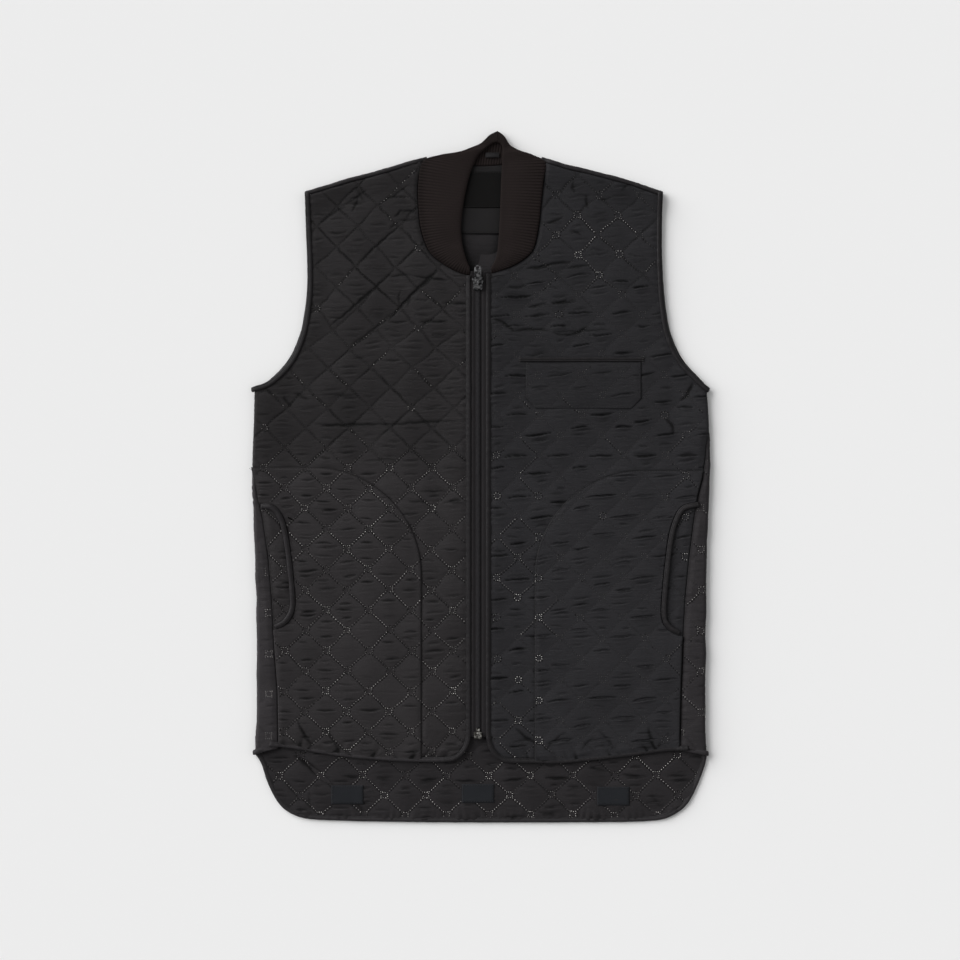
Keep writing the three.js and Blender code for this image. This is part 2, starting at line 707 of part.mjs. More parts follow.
// The collar behind the neck stands under the two sides, and is joined to them along its top.
function collar() {
  const { low, seam, stand, rim } = COLLAR;
  const [right, left] = SIDES.map((side) => {
    const top = COLLAR_SECTIONS[side.name].slice(NECK_SECTIONS).map((row) => row.seam);
    return mirrored(side, [COLLAR_FOOT[side.name], ...top].map((p) => v2(...p)));
  });
  const silhouette = [...right, ...left.reverse().slice(1)];
  const inside = offsetLine(silhouette, -rim).reverse();
  return join(
    prism([...silhouette, ...backNeck(SEAM)], 0, stand),
    prism([...silhouette, ...inside], QUILT + SEAM, low + seam / 2),
    ...SIDES.map(collarSide),
  );
}

function hangerLoop() {
  const { from, to, y, wide, thick, arch } = LOOP;
  const surface = (up) =>
    levels(from, to, 6).map((x, i) => {
      const z = COLLAR.stand + SEAM + up + arch * Math.sin((Math.PI * i) / 6);
      return [v3(x, y - wide / 2, z), v3(x, y + wide / 2, z)];
    });
  return wall(surface(thick), surface(0));
}

// ---- zip ----------------------------------------------------------------------------------

const TAPE_LOW = QUILT + AIR + ZIP_RISE + TAPE.under;
const TAPE_TOP = TAPE_LOW + TAPE.thick;
const COIL_LOW = TAPE_TOP + SEAM;
const COIL_TOP = COIL_LOW + COIL.size;
const SLIDER_TOP = COIL_TOP + SEAM + SLIDER.plate;
const PULL_Z = SLIDER_TOP + SEAM + PULL.thick / 2;

const spreadAt = (y) => SPREAD.by * smooth(y, SPREAD.from, SPREAD.to);
const SPREAD_ROWS = levels(SPREAD.from, SPREAD.to, 4);

function tape(side) {
  const inner = [TAPE.bottom, ...SPREAD_ROWS, TAPE.top].map((y) =>
    v2(ZIP_X + side.sign * (spreadAt(y) + COIL.apart / 2), y),
  );
  const outer = side.sign * (FRONT_EDGE[side.name] - SEAM);
  const outline = [...inner, v2(outer, TAPE.top), v2(outer, TAPE.bottom)];
  return prism(outline, TAPE_LOW, TAPE_TOP);
}

function coil(side) {
  const middle = (COIL.apart + COIL.size) / 2;
  const line = [COIL.bottom, ...SPREAD_ROWS, COIL.top].map((y) =>
    v2(ZIP_X + side.sign * (spreadAt(y) + middle), y),
  );
  return tapeStrip(line, () => COIL_LOW + COIL.size / 2, { width: COIL.size, height: COIL.size });
}

function topStop(side) {
  const x = ZIP_X + side.sign * (SPREAD.by + (COIL.apart + COIL.size) / 2);
  const outline = rectangle(x - STOP.wide / 2, STOP.from, x + STOP.wide / 2, STOP.to);
  return prism(outline, COIL_LOW, COIL_TOP);
}

function slider() {
  const half = (sign) => SLIDER_HALF_WIDTH.map((row) => v2(ZIP_X + sign * row.half, row.y));
  const outline = smoothLine([...half(1), ...half(-1).reverse(), half(1)[0]], 36).slice(0, -1);
  const room = COIL.apart / 2 + COIL.size + 1.5 * SEAM;
  const channel = [
    v2(room, SLIDER.bottom - 1),
    v2(room, SPREAD.from - 1),
    v2(room + SPREAD.by, SPREAD.to - 2),
    v2(room + SPREAD.by, SLIDER.top + 1),
  ];
  const bothSides = [...channel, ...channel.map((p) => v2(-p.x, p.y)).reverse()];
  const channelOutline = bothSides.map((p) => v2(ZIP_X + p.x, p.y));
  const [under, over] = [TAPE_LOW - SEAM, COIL_TOP + SEAM];
  const reach = 0.1; // into the plates
  const { post, postFrom, postTo } = SLIDER;
  const postOutline = rectangle(ZIP_X - post / 2, postFrom, ZIP_X + post / 2, postTo);
  return join(
    prism(outline, over, SLIDER_TOP),
    prism(outline, COIL_LOW, over + reach).subtract(prism(channelOutline)),
    prism(postOutline, under - reach, over + reach),
    prism(outline, under - SLIDER.plate, under),
    bail(),
  );
}

// The arch that carries the pull tab, standing along the slider.
function bail() {
  const { y, length, wide, bar, window, shoulder, foot } = BAIL;
  const [outer, inner, top] = [length / 2, length / 2 - bar, window + bar];
  const right = [
    v2(outer - shoulder, top),
    v2(outer, top - shoulder),
    v2(outer, -foot),
    v2(inner, -foot),
    v2(inner, window),
  ];
  const left = right.map((p) => v2(-p.x, p.y)).reverse();
  const arch = new THREE.ExtrudeGeometry(new THREE.Shape([...right, ...left]), {
    depth: wide,
    bevelEnabled: false,
  });
  const upright = new THREE.Matrix4().makeBasis(v3(0, 1, 0), v3(0, 0, 1), v3(1, 0, 0));
  return solid(arch.applyMatrix4(upright).translate(ZIP_X - wide / 2, y, SLIDER_TOP));
}

// The pull tab, modelled about its own hinge line: a cross pin under the bail, two arms past the
// bail's sides, and a plate with a hole and a raised panel.
function pullTab() {
  const { half, neck, widest, tip, thick, armFrom, armTo, pin } = PULL;
  const across = (radius, from, to) =>
    solid(
      new THREE.CylinderGeometry(radius, radius, to - from, 16)
        .rotateZ(Math.PI / 2)
        .translate((from + to) / 2, 0, 0),
    );
  const round = (radius, y, angles) =>
    angles.map((a) => v2(radius * Math.cos(a), y + radius * Math.sin(a)));
  const plate = [
    v2(-armTo, neck),
    v2(armTo, neck),
    v2(half, widest),
    ...round(half, tip - half, levels(0, Math.PI, 10)),
    v2(-half, widest),
  ];
  const hole = round(PULL_HOLE.radius, PULL_HOLE.y, levels(0, Math.PI * 2, 16).slice(1));
  const panel = rectangle(-PULL_INSET.half, PULL_INSET.from, PULL_INSET.half, PULL_INSET.to);
  const low = -thick / 2;
  const arms = [
    [-armTo, -armFrom],
    [armFrom, armTo],
  ].flatMap(([from, to]) => [
    prism(rectangle(from, 0, to, neck + pin), low, -low),
    across(thick / 2, from, to),
  ]);
  return join(
    prism(plate, low, -low),
    prism(panel, 0, PULL_INSET.high - low),
    ...arms,
    across(pin, -armFrom - pin, armFrom + pin),
  ).subtract(prism(hole));
}

// At the foot, each coil gives way to a pin. One stands in the box, the other slips into it.
function zipBox() {
  const { wide, top, bottom, high, slot } = BOX;
  const inner = ZIP_X + COIL.apart;
  const block = rectangle(ZIP_X - wide / 2, bottom, ZIP_X + wide / 2, top);
  const room = rectangle(ZIP_X - COIL.apart - PIN.wide - SEAM, top - slot, ZIP_X, top + 1);
  const fixedPin = rectangle(inner, top - 1, inner + PIN.wide, PIN.top);
  return prism(block, TAPE_LOW, TAPE_LOW + high)
    .subtract(prism(room, COIL_LOW - SEAM, COIL_LOW + PIN.high + SEAM))
    .add(prism(fixedPin, COIL_LOW, COIL_LOW + PIN.high));
}

function zipPin() {
  const inner = ZIP_X - COIL.apart;
  const outline = rectangle(inner - PIN.wide, PIN.foot, inner, PIN.top);
  return prism(outline, COIL_LOW, COIL_LOW + PIN.high);
}

// ---- the vest -----------------------------------------------------------------------------

const vest = new THREE.Group();
vest.add(
  mesh("back_panel", backPanel(), shellCloth),
  mesh("back_neck_facing", backFacing(), liningCloth),
  mesh("neck_label", neckLabel(), labelCloth),
  mesh("hanger_loop", hangerLoop(), bindingCloth),
  mesh("collar", collar(), ribKnit),
  mesh("tail_binding", tailBinding(), bindingCloth),
  mesh("chest_welt", chestWelt(), bindingCloth),
  mesh("chest_flap", chestFlap(), shellCloth),
  mesh("zip_slider", slider(), zipMetal),
  mesh("zip_box", zipBox(), zipMetal),
  mesh("zip_pin", zipPin(), zipMetal),
);
for (const side of SIDES) {
  vest.add(
    mesh(`${side.name}_front`, front(side), shellCloth),
    mesh(`${side.name}_front_binding`, frontBinding(side), bindingCloth),
    mesh(`${side.name}_armhole_binding`, armholeBinding(side), bindingCloth),
    mesh(`${side.name}_pocket`, pocket(side), shellCloth),
    mesh(`${side.name}_pocket_piping`, pocketPiping(side), bindingCloth),
    mesh(`${side.name}_zip_tape`, tape(side), zipTape),
    mesh(`${side.name}_zip_coil`, coil(side), zipCoil),
    mesh(`${side.name}_top_stop`, topStop(side), zipMetal),
  );
}
for (const patch of TAIL_PATCHES) {
  vest.add(mesh(patch.name, tailPatch(patch), patchCloth));
}

const pullHinge = new THREE.Group();
pullHinge.position.set(ZIP_X, BAIL.y, PULL_Z);
pullHinge.add(mesh("zip_pull_tab", pullTab(), zipMetal));
vest.add(pullHinge);

export default vest;
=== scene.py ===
"""Quilted thermal vest, zipped shut and laid flat: cloth, trims, zip and stage."""
import json
import math

import bpy
import numpy as np
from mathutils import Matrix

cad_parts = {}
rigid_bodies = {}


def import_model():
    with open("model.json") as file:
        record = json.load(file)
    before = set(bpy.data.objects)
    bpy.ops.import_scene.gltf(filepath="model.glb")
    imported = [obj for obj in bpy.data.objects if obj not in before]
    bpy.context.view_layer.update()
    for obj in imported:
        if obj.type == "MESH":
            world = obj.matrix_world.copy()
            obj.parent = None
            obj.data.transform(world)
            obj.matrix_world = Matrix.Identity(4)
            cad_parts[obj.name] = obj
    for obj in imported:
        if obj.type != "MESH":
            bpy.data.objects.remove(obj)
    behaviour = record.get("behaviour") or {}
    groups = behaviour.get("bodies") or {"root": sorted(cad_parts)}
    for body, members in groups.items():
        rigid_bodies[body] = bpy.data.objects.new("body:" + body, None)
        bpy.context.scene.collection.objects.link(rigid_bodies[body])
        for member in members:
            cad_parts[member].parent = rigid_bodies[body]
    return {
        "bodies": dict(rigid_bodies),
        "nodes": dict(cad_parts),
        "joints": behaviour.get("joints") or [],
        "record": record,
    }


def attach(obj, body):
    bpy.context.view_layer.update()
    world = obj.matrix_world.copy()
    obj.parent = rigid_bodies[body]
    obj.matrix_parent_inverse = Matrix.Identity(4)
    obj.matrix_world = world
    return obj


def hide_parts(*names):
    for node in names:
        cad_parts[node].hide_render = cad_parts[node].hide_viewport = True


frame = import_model()

bl_info = {
    "name": "Quilted Vest",
    "version": (1, 0, 0),
    "blender": (4, 5, 0),
    "location": "3D View > Sidebar > Vest",
    "description": "Builds the quilted vest's cloth, bindings, collar, zip and stitching",
    "category": "Object",
}

# ---- sizes, in millimetres ----------------------------------------------------------------
# +X is the wearer's left, +Y the collar, +Z up. Tables read out from the middle line.

SEAM = 0.3
QUILT = 3.0  # thickness of the quilted cloth
AIR = 0.9
FOLD_RISE = 2.3
ZIP_RISE = 1.6
FOLD = (2 * QUILT + AIR + FOLD_RISE) / 2  # outside radius of the rounded side folds
TAPE_WIDTH = 6.0
TAPE_THICK = 3.4
CLOTH_IN_TAPE = 2.6  # how far a bound edge stands inside its tape
SHOULDER_SEAM = 6.0
ZIP_X = -4.7
ZIP_TOP = 236.2
ZIP_FOOT = -297.0

RIGHT, LEFT = -1, 1
SIDES = {"right": RIGHT, "left": LEFT}

SIDE_EDGE = np.array([  # y, right, left
    (-329, 269.8, 267), (-291, 267.4, 265.4), (-187, 267.2, 266.2), (-97, 269.2, 267),
    (15, 273.8, 271.4), (66, 272, 271), (106, 271, 268.4)])
SIDE_SEAM = np.array([
    (-329, 241, 234.4), (-254, 242, 236), (-200, 246, 238), (-146, 249, 241), (-97, 253, 245.6),
    (-50, 259.7, 251.4), (-25, 265.2, 255), (-2, 269.6, 261), (20, 276, 264.8), (36, 276, 265.8),
    (48, 276, 268.4), (62, 276, 276)])
ARMHOLE = np.array([  # y, right, left, how far the back's edge shows past the front's
    (107, 270.2, 268, 0), (115, 250.4, 258.6, 2), (139, 227.4, 236.4, 2.4), (169, 214.4, 223, 1.6),
    (198, 208.8, 217.6, 1.2), (227, 206.4, 215, 0.8), (262, 206.9, 213.5, 0.6),
    (298, 208.5, 213.5, 0.4), (335, 209.8, 214.6, 0)])
SHOULDER = {
    RIGHT: np.array([
        (0, 400), (66, 380.4), (85, 375.6), (112, 367), (156, 355.4), (210, 339), (280, 317.6)]),
    LEFT: np.array([
        (0, 399), (72, 380), (104, 370), (125, 365.6), (179, 351.4), (216.5, 337.8), (280, 316)]),
}
HEM = np.array([  # out, right y, left y
    (60, -338, -339.4), (90, -337.4, -339.8), (125, -335.4, -336.8), (170, -331, -331.8),
    (214, -323.6, -325.8), (242, -320, -324.6)])
FRONT_EDGE = {RIGHT: 12.8, LEFT: 5.0}
FRONT_CORNER = (28, 34, 0.4)
TAIL = {
    RIGHT: [(269.6, -328), (261.8, -340), (254.8, -361), (244.4, -382.6), (232, -396),
            (214, -404.2), (190, -407), (120, -409)],
    LEFT: [(267.6, -328), (264.8, -342), (258, -361), (248, -382), (236, -396),
           (217, -405.4), (190, -408.8), (120, -409.8)],
}
TAIL_BOTTOM = -410
POCKET_EDGE = {RIGHT: 71.6, LEFT: 62.4}
POCKET_TOP = {RIGHT: 11.7, LEFT: 8.4}
POCKET_RADIUS = 128
HAND_OPENING = {
    RIGHT: [(261, -31), (249, -32), (238.6, -41), (231, -60), (225.4, -95), (221, -141),
            (222.4, -160), (231, -174), (243, -181)],
    LEFT: [(256, -29), (237.5, -34), (227.4, -49), (220.6, -74), (215.6, -115), (212.6, -152),
           (213.6, -170), (220.6, -181), (232.5, -188)],
}
COLLAR = {  # seam x, seam y, edge x, edge y from the zip round to the top of the neck
    RIGHT: np.array([
        (14.5, 239.3, 14.3, 248), (27, 242.6, 18.3, 258), (45, 252.5, 21.4, 269),
        (61.6, 267, 23.5, 280), (71.6, 292.5, 24.4, 297), (75, 321.5, 22.4, 318),
        (75, 350, 18.2, 342), (69.6, 374, 12.5, 363), (50, 381.6, 5, 379.5), (25, 386, -2, 387),
        (2, 395, -8.5, 392.6), (-9, 405, -13.5, 395.6), (-18.9, 410, -18.4, 396.6)]),
    LEFT: np.array([
        (11.4, 241.3, 11.2, 248), (34, 249, 16.2, 258), (52, 260, 18.6, 268),
        (62, 272.6, 19.8, 281), (67.7, 300, 21.2, 303), (70, 321, 22, 324), (73, 350, 23, 350),
        (75.4, 372, 24, 370), (60, 382, 24.4, 379), (45, 387, 24.8, 385), (34, 393, 24.8, 390),
        (26.6, 404, 22.4, 394.6), (18.5, 410, 18, 396.6)]),
}
NECK_SECTIONS = 8
COLLAR_LOW = 5.2
BACK_NECK = [(65, 376), (2.5, 369), (-60, 376)]
FLAP = (52, 189, 136, 81, 12)  # from, to, top, bottom, cut corner
WELT = (44, 192, 136.6, 141.6)
FACING = (3, 366, 61, 78)  # middle x, top y, half width, drop
LABEL = (3, 340.5, 66, 43)
PATCHES = {"right": (-159.5, -377), "middle": (-4.5, -375.4), "left": (156, -378.6)}
PATCH_SIZE = (38, 22)
LOOP = (4.5, 20.5, 381.5, 6)

# Quilting: a crossing of two seams, the steps to the next one across and up, and a seed.
LATTICE = {
    "right_front": (-233.9, -13.0, 49.8, 48.1, 4),
    "left_front": (43.1, 1.7, 49.8, 48.2, 6),
    "tail": (-215.8, -330.6, 49.8, 46.8, 51),
    "right_strip": (-252.2, -161.0, 49.8, 48.3, 30),
    "left_strip": (260.0, -182.0, 49.8, 48.2, 32),
    "back": (0.0, -6.0, 49.8, 48.2, 41),
}
PULL = {  # y, and how far the wearing has pulled the pattern across and up there
    "right_front": np.array([
        (20, 0, 0), (127, 3, -1.5), (154, 4, -3), (179, 10, -4), (200, 12.5, -4.5), (225, 10, -3),
        (250, 7.5, -2), (298, 12, -2.5), (340, 14, -2.5)]),
    "left_front": np.array([(20, 0, 0), (160, -0.8, -1), (230, -3, -3), (298, -5, -4.5)]),
}
SEAM_SPACING = 34.6  # between parallel quilting seams

GRID = {  # points across and up in each piece's mesh
    "front": (158, 488), "back": (130, 186), "tail": (236, 72), "strip": (30, 236),
    "pocket": (100, 325), "flap": (92, 46), "collar": (26, 370), "stand": (321, 18), "facing": (61, 46),
}
TAIL_ROWS = 30  # the lowest rows of the back, which the tail's inner face lies on
LIGHTS = {"key": (58, 66, 56), "fill": (60, 52, -75)}  # spread, tilt and turn in degrees
AIM = (-0.0021, -0.0036, 0.006)  # the point under the camera, in metres


def setting(name):
    """A size from the panel, rounded back from single precision."""
    value = getattr(bpy.context.scene.vest_sizes, name)
    return round(value, 6) if isinstance(value, float) else np.round(value, 6)


# ---- lines in plan ------------------------------------------------------------------------

def smoothstep(x, low, high):
    """0 up to low and 1 from high, with the cubic 3t^2 - 2t^3 between."""
    t = np.clip((x - low) / (high - low), 0, 1)
    return t * t * (3 - 2 * t)


def bell(x, width):
    """1 where x is 0, falling off to both sides as e to the minus (x / width) squared."""
    return np.exp(-((x / width) ** 2))


def unit(vectors):
    """The vectors at length 1."""
    return vectors / np.maximum(np.linalg.norm(vectors, axis=-1, keepdims=True), 1e-9)


def heading(line):
    """A line's direction at each of its points."""
    return unit(np.gradient(line, axis=0))


def side_name(side):
    """right or left."""
    return "right" if side == RIGHT else "left"


def column(table, side):
    """The table's column for one side."""
    return table[:, 1 if side == RIGHT else 2]


def lengths(line):
    """Length along a line at each of its points."""
    return np.concatenate([[0], np.cumsum(np.linalg.norm(np.diff(line, axis=0), axis=1))])


def resample(line, count, steps=None):
    """The same line at count points that are evenly spaced in length, or in the given measure."""
    s = lengths(line) if steps is None else steps
    at = np.linspace(0, s[-1], count)
    return np.stack([np.interp(at, s, line[:, i]) for i in range(line.shape[1])], 1)


def spline(points, per_span=16):
    """Smooth line through the points: on each span, the Catmull-Rom cubic of its four neighbours."""
    p = np.asarray(points, float)
    p = np.concatenate([p[:1], p, p[-1:]])
    a, b, c, d = (p[i:len(p) - 3 + i, None] for i in range(4))
    t = np.linspace(0, 1, per_span, endpoint=False)[None, :, None]
    line = b + t * (c - a) / 2 + t**2 * (a - 2.5 * b + 2 * c - d / 2)
    line = line + t**3 * (1.5 * (b - c) + (d - a) / 2)
    return np.concatenate([line.reshape(-1, p.shape[1]), p[-1:]])


def offset(line, distance):
    """The line moved to the left of its direction by a distance."""
    along = heading(line)
    return line + distance * np.stack([-along[:, 1], along[:, 0]], 1)


def signed(side, line):
    """A line that reads out from the middle, placed on its side of the vest."""
    return line * np.array([side, 1.0])


def distance_to(x, y, line):
    """Distance in plan from each point to the nearest span of a line."""
    shape = x.shape
    x, y = x.ravel(), y.ravel()
    best = np.full(x.shape, 1e9)
    a, b = line[:-1], line[1:]
    for (ax, ay), (bx, by) in zip(a, b):
        dx, dy = bx - ax, by - ay
        t = np.clip(((x - ax) * dx + (y - ay) * dy) / max(dx * dx + dy * dy, 1e-9), 0, 1)
        np.minimum(best, (x - ax - t * dx) ** 2 + (y - ay - t * dy) ** 2, out=best)
    return np.sqrt(best).reshape(shape)


def inside(x, y, line):
    """True for points inside a closed outline, by counting the edges to the right of each."""
    a, b = line, np.roll(line, -1, axis=0)
    found = np.zeros(x.shape, bool)
    for (ax, ay), (bx, by) in zip(a, b):
        if ay != by:
            crosses = (ay > y) != (by > y)
            found ^= crosses & (x < (bx - ax) * (y - ay) / (by - ay) + ax)
    return found


def within(x, y, box, margin=0):
    """True for points inside a box that is given by its two x and its two y."""
    x0, x1, y0, y1 = box
    return (x > x0 - margin) & (x < x1 + margin) & (y > y0 - margin) & (y < y1 + margin)


def side_edge(side, y):
    """How far out the side fold reaches at a height."""
    return np.interp(y, SIDE_EDGE[:, 0], column(SIDE_EDGE, side))


def side_seam(side, y):
    """How far out the side seam lies in plan."""
    return np.minimum(np.interp(y, SIDE_SEAM[:, 0], column(SIDE_SEAM, side)), side_edge(side, y))


def seam_out(side, y):
    """The side seam's place along the cloth, measured round the fold where it lies on the fold."""
    edge, inset = side_edge(side, y), side_edge(side, y) - side_seam(side, y)
    turned = edge - FOLD + FOLD * np.arcsin(np.clip((FOLD - inset) / FOLD, 0, 1))
    return np.where(inset < FOLD, turned, edge - inset)


def hem_y(side, out):
    """Height of a front's hem at a distance out."""
    return np.interp(out, HEM[:, 0], column(HEM, side))


def shoulder_y(side, out):
    """Height of the shoulder fold at a distance out."""
    return np.interp(out, SHOULDER[side][:, 0], SHOULDER[side][:, 1])


def armhole(side, extra=0.0):
    """The armhole's bound edge, from the underarm up to the shoulder."""
    out = column(ARMHOLE, side) + extra * ARMHOLE[:, 3]
    return spline(np.stack([out, ARMHOLE[:, 0]], 1), 8)


def neck_line(side):
    """A front's neck, where the collar is sewn on."""
    return spline(COLLAR[side][:NECK_SECTIONS, :2], 10)


def front_corner(side):
    """The quarter ellipse where the front edge turns into the hem."""
    wide, high, foot = FRONT_CORNER
    a = np.linspace(0, math.pi / 2, 25)
    bottom = column(HEM, side)[0] + foot
    return np.stack([FRONT_EDGE[side] + wide * (1 - np.cos(a)), bottom + high * (1 - np.sin(a))], 1)


def front_edge(side):
    """A front's bound edge: down beside the zip, round the corner and out along the hem."""
    corner = front_corner(side)
    rows = np.stack([HEM[:, 0], column(HEM, side)], 1)
    rows[-1, 0] = side_seam(side, rows[-1, 1]) - SEAM / 2
    top = np.array([[FRONT_EDGE[side], COLLAR[side][0, 1] - 2 * SEAM]])
    return np.concatenate([top, corner[:-1], spline(np.concatenate([corner[-1:], rows]), 8)])


def tail_line(side):
    """The tail's bound edge, from the side fold down and in to the middle."""
    rows = TAIL[side]
    line = spline([*rows, (0, TAIL_BOTTOM), (-rows[-1][0], rows[-1][1])], 10)
    return line[line[:, 0] >= 0]


def whole_tail(inset):
    """The tail's edge from side to side, moved in by the inset."""
    right, left = (signed(side, offset(tail_line(side), -inset)) for side in (RIGHT, LEFT))
    return np.concatenate([right, left[::-1]])


def hand_opening(side):
    """The curved edge of a pocket's hand opening."""
    return spline(HAND_OPENING[side], 8)


def back_neck(up):
    """The back's neck, moved up by a distance."""
    return spline(np.array(BACK_NECK) + (0, up), 12)


def pocket_outline(side):
    """A patch pocket: straight inner edge, round corner, top seam, hand opening and hem."""
    edge, top = POCKET_EDGE[side], POCKET_TOP[side]
    a = np.linspace(math.pi, math.pi / 2, 33)
    arc = np.stack([edge + POCKET_RADIUS * (1 + np.cos(a)), top - POCKET_RADIUS * (1 - np.sin(a))], 1)
    opening = hand_opening(side)
    above = np.linspace(top, opening[0, 1] + 1, 10)
    below = np.linspace(opening[-1, 1] - 1, -314, 40)
    inward = lambda y: np.stack([seam_out(side, y) - SEAM / 2, y], 1)
    hem = offset(front_edge(side), CLOTH_IN_TAPE)
    hem = hem[(hem[:, 0] > edge) & (hem[:, 1] < -300) & (hem[:, 0] < seam_out(side, -318) - 1)]
    return np.concatenate([
        [(edge, hem[0, 1])], arc, inward(above), opening, inward(below), hem[::-1]])


# ---- how the cloth lies -------------------------------------------------------------------

def rest_height(x, y):
    """Underside of the fronts: the back and the air on it, raised at the folds and the zip."""
    side_rise = FOLD_RISE * smoothstep(np.abs(x), 222, 262)
    zip_rise = ZIP_RISE * (1 - smoothstep(np.abs(x - ZIP_X), 12, 60))
    shoulder = np.where(x < 0, shoulder_y(RIGHT, -x), shoulder_y(LEFT, x))
    shoulder_rise = FOLD_RISE * (1 - smoothstep(shoulder - y, SHOULDER_SEAM, 34))
    return QUILT + AIR + np.maximum(np.maximum(side_rise, zip_rise), shoulder_rise)


def on_front(side):
    """Places cloth on the front of one side. Out to the fold it lies at rest height plus lift;
    beyond, it turns down round the side fold, a circle of radius FOLD less the wall plus lift."""
    def place(out, y, lift):
        start = side_edge(side, y) - FOLD
        turn = np.clip((out - start) / FOLD, 0, math.pi)
        radius = FOLD - QUILT + lift
        flat = turn <= 0
        x = np.where(flat, out, start + radius * np.sin(turn))
        z = np.where(flat, rest_height(side * out, y) + lift, FOLD + radius * np.cos(turn))
        return np.stack([side * x, y, z], -1)
    return place


def on_table(x, y, lift):
    """Places cloth at a height over the table."""
    return np.stack([x, y, np.broadcast_to(lift, np.shape(x))], -1)


def on_shoulder(side):
    """Places cloth round the shoulder fold: out runs along the fold, s round it from the table."""
    def place(out, s, lift):
        y = shoulder_y(side, out)
        slope = (shoulder_y(side, out + 4) - shoulder_y(side, out - 4)) / 8
        size = np.sqrt(1 + slope**2)
        inward = np.stack([slope / size, -1 / size])
        angle = np.minimum(s / FOLD, math.pi) - math.pi / 2
        radius = FOLD - QUILT + lift
        inset = FOLD - radius * np.cos(angle) + np.maximum(0, s - math.pi * FOLD)
        x = side * (out + inward[0] * inset)
        z = np.where(s < math.pi * FOLD, FOLD + radius * np.sin(angle), 2 * FOLD - QUILT + lift)
        return np.stack([x, y + inward[1] * inset, z], -1)
    return place


# ---- quilting and creases -----------------------------------------------------------------

def ripple(x, y, wavelength, seed):
    """Soft irregular waves, about -1 to 1: the mean of six sines in random directions."""
    rng = np.random.default_rng(seed)
    total = 0.0
    for _ in range(6):
        angle, phase = rng.uniform(0, math.pi), rng.uniform(0, 2 * math.pi)
        k = 2 * math.pi / (wavelength * rng.uniform(0.7, 1.4))
        total = total + np.sin(k * (x * math.cos(angle) + y * math.sin(angle)) + phase)
    return total / 3


def drift(x, y, lattice):
    """How far the quilting has wandered from straight at a point: slow and quick waves, less the
    pull at that height."""
    seed = LATTICE[lattice][4]
    across, up = (np.interp(y, PULL[lattice][:, 0], PULL[lattice][:, i]) if lattice in PULL else 0
                  for i in (1, 2))
    more = 1 + smoothstep(y, 60, 180)
    return (more * (0.8 * ripple(x, y, 150, seed) + 0.5 * ripple(x, y, 34, seed + 2)
                    + 0.22 * ripple(x, y, 12, seed + 4)) - across,
            more * (0.7 * ripple(x, y, 130, seed + 1) + 0.5 * ripple(x, y, 30, seed + 3)
                    + 0.22 * ripple(x, y, 11, seed + 5)) - up)


def diagonals(x, y, lattice):
    """Coordinates in which every quilting seam is a whole number: p on falling seams, q on rising."""
    x0, y0, across, up = LATTICE[lattice][:4]
    a, b = (x - x0) / across, (y - y0) / up
    return a + b, a - b


def uneven_pull(dice, seam, along):
    """Strength along a seam: a random share at each crossing, blended smoothly between them."""
    cell = np.floor(along).astype(int)
    t = smoothstep(along - cell, 0, 1)
    seam = np.round(seam).astype(int) % 64
    return 0.4 + 1.1 * (dice[seam, cell % 64] * (1 - t) + dice[seam, (cell + 1) % 64] * t) ** 1.5


def trough(u, v, tilt, half, bow, width):
    """A short bent crease shaped like a lens: a bell across it, narrowed and weakened towards its
    ends by one minus the square of the length along. Gives the trough and the ridge above it."""
    s = np.clip(u / half, -1, 1)
    body = 1 - s * s
    across = (v - tilt * u - bow * s * s) / (width * (0.4 + 0.6 * body))
    return np.sqrt(body) * np.exp(-(across**2)), body * bell(across + 2.1, 1.5)


